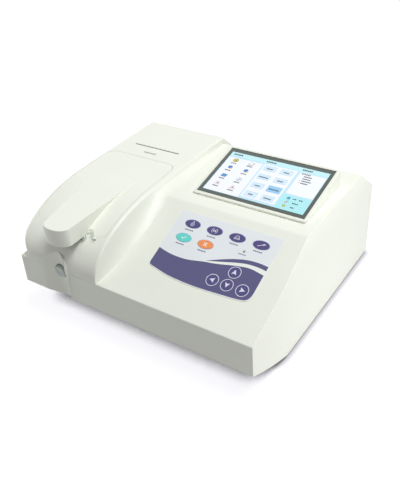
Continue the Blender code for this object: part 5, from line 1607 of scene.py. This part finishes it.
@dataclass
class ScreenUnit:
    """The wedge frame, the glass with its dark rim and the lit picture of plain fields."""

    case: CaseForm
    form: ScreenForm
    columns: Pair = (-6.2, 19.6)
    rows: tuple[float, ...] = (25.2, 6.4, -12.2, -31.0)
    hot: tuple[int, int] = (2, 1)
    labels: tuple[Pair, ...] = ((9.5, 8.5), (14.5, 9.0), (8.5, 15.5), (7.0, 11.5))
    panels: tuple[Quad, ...] = (
        (-76.2, -42.2, -20.6, 31.6), (-18.6, -38.8, 33.2, 33.4), (37.2, -12.4, 76.2, 32.4),
    )
    entries: tuple[Pair, ...] = ((40.2, 13.6), (45.6, 12.0), (45.6, 12.0), (46.4, 14.0), (46.6, 11.0))
    notes: tuple[Triple, ...] = (
        (51.8, -20.0, 5.4), (60.6, -20.0, 5.6), (54.4, -28.0, 8.6), (55.4, -36.0, 5.6),
    )
    skirt: float = 0.045
    rear_margin: float = 0.0005
    frame_round: float = 0.0012
    deck_lift: float = 0.00005
    pocket_floor: float = 0.0022
    pocket_top: float = 0.0003
    glass_corner: float = 0.0006
    glass_round: float = 0.0003

    def build_bezel(self) -> None:
        """The wedge frame on the deck, with soft outer edges and a pocket for the glass."""
        form, case = self.form, self.case
        half = (form.width / 2 + form.rim, form.depth / 2 + form.rim + self.rear_margin)
        work = prism(Axis.Z, centred((0, 0), half, form.corner), -self.skirt, form.lip)
        round_edges(work, edges_over(work, form.lip), self.frame_round, 4)
        made = to_object("screen_frame", shaped(work, form.matrix(case)))
        cut(made, block(
            (case.low.x, case.low.y - 2 * CLEAR, -CLEAR),
            (case.high.x, case.high.y + 2 * CLEAR, case.z_deck + self.deck_lift),
        ))
        depth = form.glass + form.display + 3 * case.gap
        weld(made, form.slab(case, form.sleeve, -depth - self.pocket_floor, -self.pocket_top))
        cut(made, form.slab(case, case.gap, -depth, FAR_PAST))
        cut(made, form.slab(case, -form.ledge, -CLEAR - PAST, FAR_PAST))
        dress(clean(made), IVORY, "case", ["lcd_bezel"])

    def build_glass(self) -> None:
        """The glass, dark round its edge, with a fine bevel."""
        form = self.form
        outline = centred((0, 0), (form.width / 2, form.depth / 2), self.glass_corner, 3)
        work = prism(Axis.Z, outline, -form.glass, 0.0)
        round_edges(work, edges_over(work, 0.0), self.glass_round, 2)
        made = to_object("glass_plate", shaped(work, form.matrix(self.case)))
        dress(made, GLASS_RIM, "case", ["touch_glass"])

    def build_picture(self) -> None:
        """The lit picture: a header, three panels, rows of buttons and small icons, and an info block."""
        sheet = PrintSheet(self.form.matrix(self.case), 0.0, thickness=0.00003)
        half_x = self.form.width / 2 / MM - self.form.border_x / MM
        half_y = self.form.depth / 2 / MM - self.form.border_y / MM
        sheet.add(LIT_EDGE, rectangle(-half_x, -half_y, half_x, half_y), 0)
        sheet.add(LIT_HEADER, rectangle(-half_x, 34.6, half_x, half_y), 1)
        for panel in self.panels:
            sheet.add(LIT_WHITE, rectangle(*panel), 1)
        sheet.add(LIT_CYAN, rectangle(34.6, -half_y, half_x, -14.6), 1)
        for x in (-72.5, -18.4, 37.6):
            sheet.marks(LIT_DARK, x, 38.6, 15.5, 2.9, 2)
        self.add_buttons(sheet)
        self.add_icons(sheet)
        self.add_list(sheet)
        sheet.build("screen")

    def add_buttons(self, sheet: PrintSheet) -> None:
        """Two columns of four pale buttons, one of them picked out.

        Args:
            sheet: The sheet that takes them.
        """
        for row, y in enumerate(self.rows):
            for column, x in enumerate(self.columns):
                hot = (row, column) == self.hot
                wide, tall = (10.6, 6.6) if hot else (9.4, 5.4)
                sheet.add(LIT_BUTTON_EDGE, centred((x, y), (wide, tall), 1.4, 4), 2)
                inner = centred((x, y), (wide - 0.5, tall - 0.5), 1.1, 4)
                sheet.add(LIT_HOT if hot else LIT_BUTTON, inner, 3)
                length = self.labels[row][column]
                sheet.marks(LIT_DARK, x - length / 2, y - 0.6, length, 2.4, 4)

    def add_icons(self, sheet: PrintSheet) -> None:
        """Two columns of small plain icons with caption marks under them.

        Args:
            sheet: The sheet that takes them.
        """
        target, open_box, disc, box, window, clip, sign, fan = (
            (-62.4, 26.0), (-36.6, 26.6), (-62.8, 9.6), (-37.0, 9.6),
            (-62.3, -8.6), (-37.0, -9.6), (-62.6, -25.6), (-37.4, -27.0),
        )
        for x, y in (target, open_box, disc, box, window, clip, sign, fan):
            sheet.marks(LIT_DARK, x - 4.6, y - 6.6, 9.0, 2.1, 2)
        middle = (target[0], target[1] - 1.4)
        sheet.add(LIT_EDGE, centred(middle, (8.6, 7.0)), 2)
        sheet.add(LIT_WHITE, centred(middle, (8.2, 6.6)), 3)
        sheet.marks(LIT_DARK, target[0] - 4.6, target[1] - 6.4, 9.0, 1.6, 4)
        sheet.add(LIT_OLIVE, ellipse(target, 4.4, 4.0, 24), 4)
        sheet.add(LIT_YELLOW, ellipse(target, 2.8, 2.5, 24), 5)
        sheet.add(LIT_DARK, ellipse(target, 1.3, 1.2, 16), 6)
        for shift in (-1.6, 0.4):
            page = [(-4.4, -2.6 + shift), (1.6, -3.4 + shift), (4.6, 1.6 + shift), (-1.4, 2.6 + shift)]
            sheet.add(LIT_GREY, turned_outline(page, open_box, 0), 2 if shift < 0 else 4)
            sheet.add(LIT_WHITE, turned_outline(page, open_box, 0, 0.84), 3 if shift < 0 else 5)
        for x, y in (disc, box):
            sheet.add(LIT_BLUE, ellipse((x, y + 0.8), 3.6, 3.2, 24), 2)
            sheet.add(LIT_YELLOW, [(x + 0.4, y - 3.4), (x + 4.2, y - 3.0), (x + 2.4, y + 0.2)], 3)
        pane = [(-4.6, -2.8), (3.2, -3.2), (5, 3), (-3, 3.4)]
        sheet.add(LIT_BLUE, turned_outline(pane, window, 0), 2)
        sheet.add(LIT_TEAL, rectangle(window[0] - 2.2, window[1] - 1.4, window[0] + 2.4, window[1] + 1.4), 3)
        sheet.add(LIT_GREY, ellipse(clip, 3.9, 3.5, 24), 2)
        sheet.add(LIT_WHITE, ellipse(clip, 3.2, 2.8, 24), 3)
        sheet.add(LIT_BLUE, turned_outline(rectangle(-2.2, -0.6, 2.2, 0.6), clip, 55), 4)
        for x, y in (sign, fan):
            sheet.add(LIT_GREY, [(x - 4.6, y - 2.6), (x + 4.6, y - 2.6), (x, y + 4.0)], 2)
            sheet.add(LIT_WHITE, [(x - 3.8, y - 2.2), (x + 3.8, y - 2.2), (x, y + 3.2)], 3)
            sheet.add(LIT_RED, ellipse((x, y - 0.4), 1.5, 1.5, 16), 4)

    def add_list(self, sheet: PrintSheet) -> None:
        """The right panel's short list and the info block under it.

        Args:
            sheet: The sheet that takes them.
        """
        for index, (x, length) in enumerate(self.entries):
            y = 30.6 - 4.6 * index
            sheet.marks(LIT_DARK, x, y, length, 2.2, 2)
            if index > 2:
                sheet.add(LIT_RED if index == 4 else LIT_BLUE, ellipse((x - 2.6, y), 0.8, 0.8, 12), 2)
        sheet.add(LIT_TEAL, ellipse((45.6, -20.2), 2.6, 2.6, 24), 2)
        sheet.add(LIT_RED, turned_outline(rectangle(-2.8, -0.7, 2.0, 0.7), (45.8, -28.0), 50), 2)
        sheet.add(LIT_DARK, turned_outline(rectangle(2.0, -0.7, 3.0, 0.7), (45.8, -28.0), 50), 2)
        sheet.add(LIT_OLIVE, turned_outline(rectangle(-2.1, -2.1, 2.1, 2.1), (46.0, -35.6), 45), 2)
        sheet.add(LIT_YELLOW, turned_outline(rectangle(-1.1, -1.1, 1.1, 1.1), (46.0, -35.6), 45), 3)
        for x, y, length in self.notes:
            sheet.marks(LIT_DARK, x, y, length, 2.2, 2)

    def build(self) -> None:
        """Builds the frame, the glass and the picture."""
        self.build_bezel()
        self.build_glass()
        self.build_picture()


@dataclass
class Keypad:
    """The printed film with its raised keys; its places are in millimetres along and up the panel."""

    case: CaseForm
    housing: Housing
    thickness: float = 0.0006
    sides: Pair = (-183.2, -31.7)
    top: float = 145.8
    border: float = 1.2
    foot: tuple[Pair, ...] = (
        (-183.2, 60.0), (-182.6, 56.6), (-180.0, 54.3), (-164.0, 50.8), (-143.9, 47.6), (-111.6, 46.1),
        (-82.0, 47.2), (-53.9, 49.0), (-41.0, 50.6), (-35.4, 53.2), (-32.6, 58.0), (-31.7, 64.0),
    )
    key_half: Pair = (11.4, 6.3)
    key_rise: float = 0.0005
    keys: tuple[tuple[Finish, Pair, Icon], ...] = (
        (KEY_PURPLE, (-158.4, 129.5), Icon.LAMP), (KEY_PURPLE, (-123.9, 129.5), Icon.DROPS),
        (KEY_PURPLE, (-89.6, 129.5), Icon.TRAY), (KEY_PURPLE, (-54.9, 129.5), Icon.NEEDLE),
        (KEY_TEAL, (-159.2, 106.1), Icon.TICK), (KEY_ORANGE, (-125.0, 106.3), Icon.CROSS),
    )
    arrows: tuple[tuple[Pair, float], ...] = (
        ((-67.6, 81.9), 90.0), ((-89.4, 62.6), 180.0), ((-68.3, 62.5), 270.0), ((-46.7, 62.5), 0.0),
    )
    arrow_radius: float = 8.6
    arrow_line: float = 0.85
    arrow_margin: float = 1.2
    arrow_head: tuple[Pair, ...] = ((3.9, 0.0), (-3.2, 3.5), (-1.8, 0.0), (-3.2, -3.5))
    halo: float = 0.7
    rim_line: float = 0.35
    key_label: Quad = (-6.4, -10.3, 13.0, 1.7)
    lamp_label: Quad = (-77.4, 109.0, 11.5, 1.3)
    window_radius: float = 0.0017
    film_lift: float = 0.00005
    film_round: float = 0.0003
    cap_sink: float = 0.0002
    cap_round: float = 0.8

    def lower_edge(self) -> list[Pair]:
        """The purple field's lower edge from left to right, bowed, with round corners."""
        return [tuple(point) for point in smooth_curve(self.foot, 6)]

    def film_outline(self) -> list[Pair]:
        """The film's outline, a narrow border outside the purple field."""
        outline = self.lower_edge() + [(self.sides[1], self.top), (self.sides[0], self.top)]
        return inset_outline(outline, [-self.border] * len(outline))

    def bands(self) -> tuple[list[Pair], list[Pair], list[Pair]]:
        """The white field, the purple band and the purple swoosh over it.

        Returns:
            The three outlines, in that order.
        """
        left, right = self.sides
        upper = [
            (left, 81.8), (-163.0, 77.9), (-138.4, 77.5), (-116.0, 83.2), (-93.3, 93.4), (-77.3, 99.6),
            (-61.7, 103.5), (-46.3, 104.6), (right, 103.5),
        ]
        lower = [(-113.0, 84.2), (-91.1, 90.2), (-74.6, 94.9), (-59.0, 98.2), (-43.2, 98.6), (right, 97.2)]
        gap_foot = [
            (-113.0, 82.6), (-102.9, 84.0), (-89.3, 86.8), (-70.0, 91.4), (-52.1, 93.6), (right, 90.6),
        ]
        curves = (upper, lower, upper[:3] + gap_foot)
        edge, swoosh_foot, main_top = ([tuple(point) for point in smooth_curve(knots, 8)] for knots in curves)
        rim = [point for point in self.film_outline() if point[1] < self.foot[0][1]]
        spare = self.border - self.rim_line
        white = [(max(left - spare, min(right + spare, x)), y + self.rim_line) for x, y in rim]
        white += [(right + spare, 103.5)] + list(reversed(edge)) + [(left - spare, 82.0)]
        main = self.lower_edge() + list(reversed(main_top))
        start = next(index for index, point in enumerate(edge) if point[0] > lower[0][0])
        swoosh = edge[start:] + list(reversed(swoosh_foot))
        return white, main, swoosh

    def icon_outlines(self, icon: Icon) -> list[list[Pair]]:
        """The outlines of an icon round its own middle, in millimetres.

        Args:
            icon: Which icon.

        Returns:
            The outlines of its parts.
        """
        if icon is Icon.LAMP:
            bulb = half_rings((0, -0.6), 2.3, 2.9)
            bars = [rectangle(-1.1, y, 1.1, y + 0.5) for y in (-1.9, -0.9, 0.1)]
            return bulb + bars + [rectangle(-0.7, 2.7, 0.7, 4.4)]
        if icon is Icon.DROPS:
            drop = [(0.0, 2.4)] + arc((0, -0.7), 1.1, 30, -210, 10)
            rings = [arc((0, 0), 4.5, 120, 240, 12) + arc((0, 0), 3.9, 240, 120, 12)]
            rings.append(arc((0, 0), 4.5, -60, 60, 12) + arc((0, 0), 3.9, 60, -60, 12))
            return rings + [turned_outline(drop, (x, 0), 0) for x in (-1.4, 1.5)]
        if icon is Icon.TRAY:
            sides = [[(-4.2, -2.6), (4.2, -2.6), (4.2, -1.9), (-4.2, -1.9)]]
            sides.append([(-4.2, -2.0), (-3.5, -2.0), (-1.2, 2.6), (-1.8, 3.0)])
            sides.append([(3.5, -2.0), (4.2, -2.0), (1.8, 3.0), (1.2, 2.6)])
            return sides + [rectangle(-1.9, 2.5, 1.9, 3.1), rectangle(-2.4, -1.0, 2.4, -0.3)]
        if icon is Icon.NEEDLE:
            shaft = [(-4.8, -2.4), (-4.2, -2.9), (2.8, 0.4), (2.4, 1.3)]
            return [shaft, [(1.6, 1.7), (3.0, -0.2), (6.2, 2.0), (3.6, 2.6)]]
        if icon is Icon.TICK:
            short = [(-3.4, -0.4), (-2.4, 0.5), (-1.2, -0.9), (-1.2, -2.5)]
            return [short, [(-1.2, -2.5), (-1.2, -0.9), (3.8, 2.6), (4.2, 2.0)]]
        bar = rectangle(-3.4, -0.75, 3.4, 0.75)
        return [turned_outline(bar, (0, 0), angle) for angle in (48, -48)]

    def cap(self, centre: Pair, half: Pair, rise: float) -> BMesh:
        """One raised key cap with a soft edge.

        Args:
            centre: The key's middle, in millimetres.
            half: Half of its width and depth.
            rise: How far it stands over the film, in metres.

        Returns:
            The shape, flat on the panel.
        """
        outline = ellipse((centre[0] * MM, centre[1] * MM), half[0] * MM, half[1] * MM, 64)
        work = prism(Axis.Z, outline, self.thickness - self.cap_sink, self.thickness + rise)
        round_edges(work, edges_over(work, self.thickness + rise), rise * self.cap_round, 4)
        return work

    def build_film(self) -> None:
        """The film's own sheet with the lamp's window in it."""
        outline = [(x * MM, y * MM) for x, y in self.film_outline()]
        work = prism(Axis.Z, outline, self.film_lift, self.thickness)
        round_edges(work, edges_over(work, self.thickness), self.film_round, 2)
        made = to_object("keypad_film", work)
        x, y = self.housing.led
        cut(made, rod(Axis.Z, (-x, y, -PAST), self.window_radius, 2 * PAST, 32))
        made.data.transform(self.case.panel_frame)
        dress(clean(made), FILM_PALE, "case", ["keypad_overlay"])

    def build_keys(self, low: PrintSheet, high: PrintSheet) -> None:
        """The raised keys, with their halos on the film and their icons on their caps.

        Args:
            low: The sheet on the film.
            high: The sheet on the caps.
        """
        for index, (finish, centre, icon) in enumerate(self.keys):
            halo = ellipse(centre, self.key_half[0] + self.halo, self.key_half[1] + self.halo, 64)
            low.add(KEY_HALO, halo, 1)
            work = shaped(self.cap(centre, self.key_half, self.key_rise), self.case.panel_frame)
            dress(to_object(f"key_{index + 1}", work), finish, "case")
            line = FILM_WHITE if finish is not KEY_PURPLE else KEY_LINE
            for outline in self.icon_outlines(icon):
                high.add(line, turned_outline(outline, centre, 0), 0)
            left, foot, length, height = self.key_label
            low.marks(LABEL, centre[0] + left, centre[1] + foot, length, height, 1)
        radius = self.arrow_radius - self.arrow_margin
        for index, (centre, angle) in enumerate(self.arrows):
            work = shaped(self.cap(centre, (radius, radius), self.key_rise), self.case.panel_frame)
            dress(to_object(f"arrow_key_{index + 1}", work), KEY_PURPLE, "case")
            for outline in half_rings(centre, self.arrow_radius - self.arrow_line, self.arrow_radius):
                low.add(KEY_LINE, outline, 3)
            high.add(KEY_LINE, turned_outline(self.arrow_head, centre, angle), 0)
        low.marks(LABEL, *self.lamp_label, 1)

    def build(self) -> None:
        """Builds the film, its colour fields and its keys."""
        self.build_film()
        low = PrintSheet(self.case.panel_frame, self.thickness)
        high = PrintSheet(self.case.panel_frame, self.thickness + self.key_rise)
        white, main, swoosh = self.bands()
        low.add(FILM_WHITE, white, 0)
        low.add(FILM_PURPLE, main, 1)
        low.add(FILM_PURPLE, swoosh, 1)
        self.build_keys(low, high)
        low.build("film")
        high.build("key_top")


@dataclass
class AspirateButton:
    """The round grey button in the groove, dished where the finger presses."""

    case: CaseForm
    housing: Housing
    proud: float = 0.0045
    stem_length: float = 0.016
    clip_from_end: float = 0.0040
    clip_radius: float = 0.0055
    clip_thick: float = 0.0012
    dish_share: float = 0.74
    dish_depth: float = 0.0007
    dish_steps: int = 8
    edge_round: float = 0.0012

    def build(self) -> None:
        """Builds the button with its stem and its clip."""
        case, hole = self.case, self.housing
        radius, stem = hole.button_radius, hole.stem_radius
        face = case.low.y + case.groove_depth - self.proud
        back = case.low.y + case.groove_depth + case.wall / 2 - case.gap
        end = back + self.stem_length
        dish = [
            (radius * self.dish_share * share, face + self.dish_depth * (1 - share ** 2))
            for share in shares(self.dish_steps)
        ]
        rim = arc((radius - self.edge_round, face + self.edge_round), self.edge_round, -90, 0, 6)
        clip = end - self.clip_from_end
        tail = [
            (radius, back), (stem, back), (stem, clip), (self.clip_radius, clip),
            (self.clip_radius, clip + self.clip_thick), (stem, clip + self.clip_thick), (stem, end), (0, end),
        ]
        z = case.low.z + hole.button_height
        work = lathe(Axis.Y, (case.groove_x, 0, z), dish + rim + tail, 96)
        dress(to_object("round_button", work), BUTTON, "button", ["aspirate_button"])


@dataclass
class ReturnSpring:
    """The coil between the button's clip and the switch."""

    case: CaseForm
    housing: Housing
    turns: int = 3
    turn_steps: int = 24
    wire: float = 0.0004

    def build(self) -> None:
        """Builds the coil in the room that its solid takes and hangs it on the case."""
        low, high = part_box("button_spring")
        middle = (low + high) / 2
        radius = (high.z - low.z) / 2 - self.wire
        start, end = low.y + self.wire, high.y - self.wire
        points = []
        for share in shares(self.turns * self.turn_steps):
            angle = 2 * math.pi * self.turns * share
            along = start + (end - start) * share
            across = (radius * math.cos(angle), radius * math.sin(angle))
            points.append(Vector((middle.x + across[0], along, middle.z + across[1])))
        made = tube("return_coil", points, self.wire)
        dress(made, STEEL, "case", ["button_spring"], 60)
        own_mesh(made)


@dataclass
class SampleHose:
    """The clear hose that loops out of the bush and back in through the nose."""

    case: CaseForm
    cover: ArmCover
    radius: float = 0.0012
    bush_radius: float = 0.0021
    bush_depth: float = 0.0060
    bush_proud: float = 0.0012
    bush_from_tongue: float = 0.0020
    bush_below: float = 0.0028
    hose_from_tongue: float = 0.0180
    hose_below: float = 0.0005
    bush_edge: float = 0.0005
    leave_levels: Triple = (-0.010, -0.003, 0.0016)
    enter_levels: Triple = (0.0022, -0.003, -0.010)
    out_loop: tuple[Triple, ...] = (
        (0.0036, -0.0024, 0.0012), (0.0060, -0.0006, 0.0038), (0.0068, 0.0045, 0.0074),
        (0.0070, 0.0085, 0.0098),
    )
    in_loop: tuple[Triple, ...] = (
        (-0.0116, 0.0072, 0.0080), (-0.0086, 0.0062, 0.0074), (-0.0050, 0.0036, 0.0058),
        (-0.0016, 0.0004, 0.0042),
    )

    def frames(self) -> tuple[Matrix, Matrix]:
        """The frames where the hose leaves the nose and where it goes back in.

        Returns:
            The two frames.
        """
        foot = self.cover.top - self.cover.drop
        return (
            self.case.wall_frame(self.cover.right - self.bush_from_tongue, foot - self.bush_below),
            self.case.wall_frame(self.cover.right + self.hose_from_tongue, foot - self.hose_below),
        )

    def holes(self) -> list[BMesh]:
        """The cutters for the two holes in the nose.

        Returns:
            The cutters, the bush's first.
        """
        cutters = []
        for matrix, radius in zip(self.frames(), (self.bush_radius, self.radius)):
            hole = rod(Axis.Z, (0, 0, -FAR_PAST), radius + self.case.gap, 2 * FAR_PAST, 24)
            cutters.append(shaped(hole, matrix))
        return cutters

    def route(self) -> list[Vector]:
        """The hose's middle line, out of the bush, over in a loop and in again.

        Returns:
            The line's chosen points.
        """
        leave, enter = self.frames()
        return (
            [leave @ Vector((0, 0, level)) for level in self.leave_levels]
            + [leave.translation + Vector(offset) for offset in self.out_loop]
            + [enter.translation + Vector(offset) for offset in self.in_loop]
            + [enter @ Vector((0, 0, level)) for level in self.enter_levels]
        )

    def build(self) -> None:
        """Builds the bush in the nose and the hose along its route."""
        bore, rim = self.radius + self.case.gap / 3, self.bush_edge
        profile = [(bore, -self.bush_depth), (self.bush_radius, -self.bush_depth)]
        profile += arc((self.bush_radius - rim, self.bush_proud - rim), rim, 0, 90, 4)
        profile.append((bore, self.bush_proud))
        work = shaped(lathe(Axis.Z, (0, 0, 0), profile, 36), self.frames()[0])
        dress(to_object("hose_bush", work), BLACK, "case", ["tube_grommet"])
        made = tube("clear_hose", smooth_curve(self.route(), 10), self.radius)
        dress(made, HOSE, "case", ["sample_tube"], 60)


@dataclass
class CarriedOver:
    """The solids that are shown as they are, each with its own finish."""

    finishes: dict[Finish, tuple[str, ...]] = field(default_factory=lambda: NODE_FINISHES)

    def dress(self) -> None:
        """Puts each node's finish in its material slots."""
        for finish, names in self.finishes.items():
            for name in names:
                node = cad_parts[name]
                node.data.materials.clear()
                node.data.materials.append(finish.material())
                log.info("%s: %s", name, finish.name)


@dataclass
class Studio:
    """The floor, the light and the camera."""

    camera_place: Triple = (0.44878, -0.60463, 0.58458)
    camera_turn: Triple = (54.5511, 3.9729, 33.8333)
    lens: float = 44.484
    key_from: Triple = (0.85, 0.50, 2.70)
    key_size: float = 1.6
    key_power: float = 64.0
    side_from: Triple = (0.70, 0.02, 0.075)
    side_size: float = 0.15
    side_power: float = 0.78
    fill_from: Triple = (-1.2, -0.22, 0.30)
    fill_size: float = 0.5
    fill_power: float = 2.8
    aim_height: float = 0.08
    sky: float = 0.22
    floor_half: float = 3.0
    floor_drop: float = 0.0002
    floor_colour: Triple = (0.62, 0.62, 0.62)
    shadow_colour: Triple = (0.31, 0.30, 0.33)
    lift_colour: Triple = (0.86, 0.86, 0.88)
    # Painted contact shadow on the floor: its white glow is dimmed by ambient occlusion within these reaches,
    # beside the object's foot and under its overhang.
    painted_contact_shadow_reach: float = 0.013
    painted_contact_shadow_power: float = 1.7
    under: float = 0.045
    painted_under_shadow_range: Pair = (0.28, 0.50)
    shade_samples: int = 12

    def build_camera(self) -> None:
        """A camera at the photograph's place and angle."""
        data = bpy.data.cameras.new("camera")
        data.lens = self.lens
        camera = bpy.data.objects.new("camera", data)
        camera.location = self.camera_place
        camera.rotation_euler = Euler([math.radians(angle) for angle in self.camera_turn])
        bpy.context.scene.camera = show(camera)

    def build_light(self, name: str, place_from: Sequence[float], size: float, power: float) -> None:
        """A square soft light that looks at the object.

        Args:
            name: The light's name.
            place_from: Where it stands.
            size: The length of its side.
            power: Its power in watts.
        """
        data = bpy.data.lights.new(name, "AREA")
        data.size = size
        data.energy = power
        light = bpy.data.objects.new(name, data)
        light.location = place_from
        aim = Vector((0, 0, self.aim_height)) - Vector(place_from)
        light.rotation_euler = aim.to_track_quat("-Z", "Y").to_euler()
        show(light)

    def seen(self, graph: Graph) -> NodeSocket:
        """Tells the rays that show things from the rays that only light them.

        Args:
            graph: The nodes that it joins.

        Returns:
            A socket that is 1 for camera, glossy and transmission rays.
        """
        rays = graph.add("LightPath").outputs
        first = graph.add("Math", {0: rays["Is Camera Ray"], 1: rays["Is Glossy Ray"]}, operation="MAXIMUM")
        both = {0: first.outputs[0], 1: rays["Is Transmission Ray"]}
        return graph.add("Math", both, operation="MAXIMUM").outputs[0]

    def build_sky(self) -> None:
        """Weak even light all round, which shows as white."""
        world = bpy.data.worlds.new("studio")
        world.use_nodes = True
        bpy.context.scene.world = world
        graph = Graph(world.node_tree)
        light = world.node_tree.nodes["Background"]
        graph.feed(light, {"Strength": self.sky, "Color": (1, 1, 1, 1)})
        white = graph.add("Background", {"Color": (1, 1, 1, 1)})
        mix = graph.add("MixShader", {"Fac": self.seen(graph), 1: light.outputs[0], 2: white.outputs[0]})
        graph.feed(world.node_tree.nodes["World Output"], {"Surface": mix.outputs[0]})

    def painted_shadow_openness(self, graph: Graph, distance: float) -> NodeSocket:
        """A socket that falls from 1 to 0 where something stands or hangs nearer than a distance, used to
        paint the floor's contact shadow.
        """
        return graph.add("AmbientOcclusion", {"Distance": distance}, samples=self.shade_samples).outputs["AO"]

    def build_floor(self) -> None:
        """A plain pale floor that shows white and keeps the object's real shadow, with a painted contact
        shadow where ambient occlusion dims its white glow.
        """
        work = bmesh.new()
        bmesh.ops.create_grid(work, x_segments=1, y_segments=1, size=self.floor_half)
        bmesh.ops.translate(work, vec=(0, 0, -self.floor_drop), verts=work.verts)
        floor = to_object("studio_floor", work)
        made = bpy.data.materials.new("studio_floor")
        made.use_nodes = True
        tree = made.node_tree
        tree.nodes.remove(tree.nodes["Principled BSDF"])
        graph = Graph(tree)
        plain = graph.add("BsdfDiffuse", {"Color": (*self.floor_colour, 1)})
        shadow = graph.add("BsdfDiffuse", {"Color": (*self.shadow_colour, 1)})
        # Painted contact shadow: the glow that lifts the floor to white is dimmed by ambient occlusion near
        # the object and under its chin.
        near = {0: self.painted_shadow_openness(graph, self.painted_contact_shadow_reach), 1: self.painted_contact_shadow_power}
        edge = graph.add("Math", near, operation="POWER").outputs[0]
        reach = {
            "Value": self.painted_shadow_openness(graph, self.under),
            "From Min": self.painted_under_shadow_range[0],
            "From Max": self.painted_under_shadow_range[1],
        }
        under = graph.add("MapRange", reach, interpolation_type="SMOOTHSTEP").outputs["Result"]
        share = graph.add("Math", {0: edge, 1: under}, operation="MULTIPLY").outputs[0]
        lift = graph.add("Emission", {"Color": (*self.lift_colour, 1), "Strength": share})
        both = graph.add("AddShader", {0: shadow.outputs[0], 1: lift.outputs[0]})
        mix = graph.add("MixShader", {"Fac": self.seen(graph), 1: plain.outputs[0], 2: both.outputs[0]})
        graph.feed(tree.nodes["Material Output"], {"Surface": mix.outputs[0]})
        floor.data.materials.append(made)

    def build(self) -> None:
        """Builds the studio."""
        self.build_camera()
        self.build_light("key_light", self.key_from, self.key_size, self.key_power)
        self.build_light("side_light", self.side_from, self.side_size, self.side_power)
        self.build_light("fill_light", self.fill_from, self.fill_size, self.fill_power)
        self.build_sky()
        self.build_floor()
        bpy.context.scene.view_settings.view_transform = "Standard"


def write_sizes() -> None:
    """Brings the view layer up to date."""
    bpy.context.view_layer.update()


def main() -> None:
    """Builds the studio, then each sub-assembly in order."""
    logging.basicConfig(level=logging.INFO, format="%(name)s %(message)s")
    Studio().build()
    case = CaseForm()
    screen = ScreenForm()
    housing = Housing(case, screen)
    cover = ArmCover(case)
    hose = SampleHose(case, cover)
    cover.build(housing.build(hose.holes()))
    Latch(case, housing).build()
    PaperGuide(case, housing).build()
    ScreenUnit(case, screen).build()
    Keypad(case, housing).build()
    AspirateButton(case, housing).build()
    ReturnSpring(case, housing).build()
    hose.build()
    CarriedOver().dress()
    write_sizes()


if __name__ == "__main__":
    main()
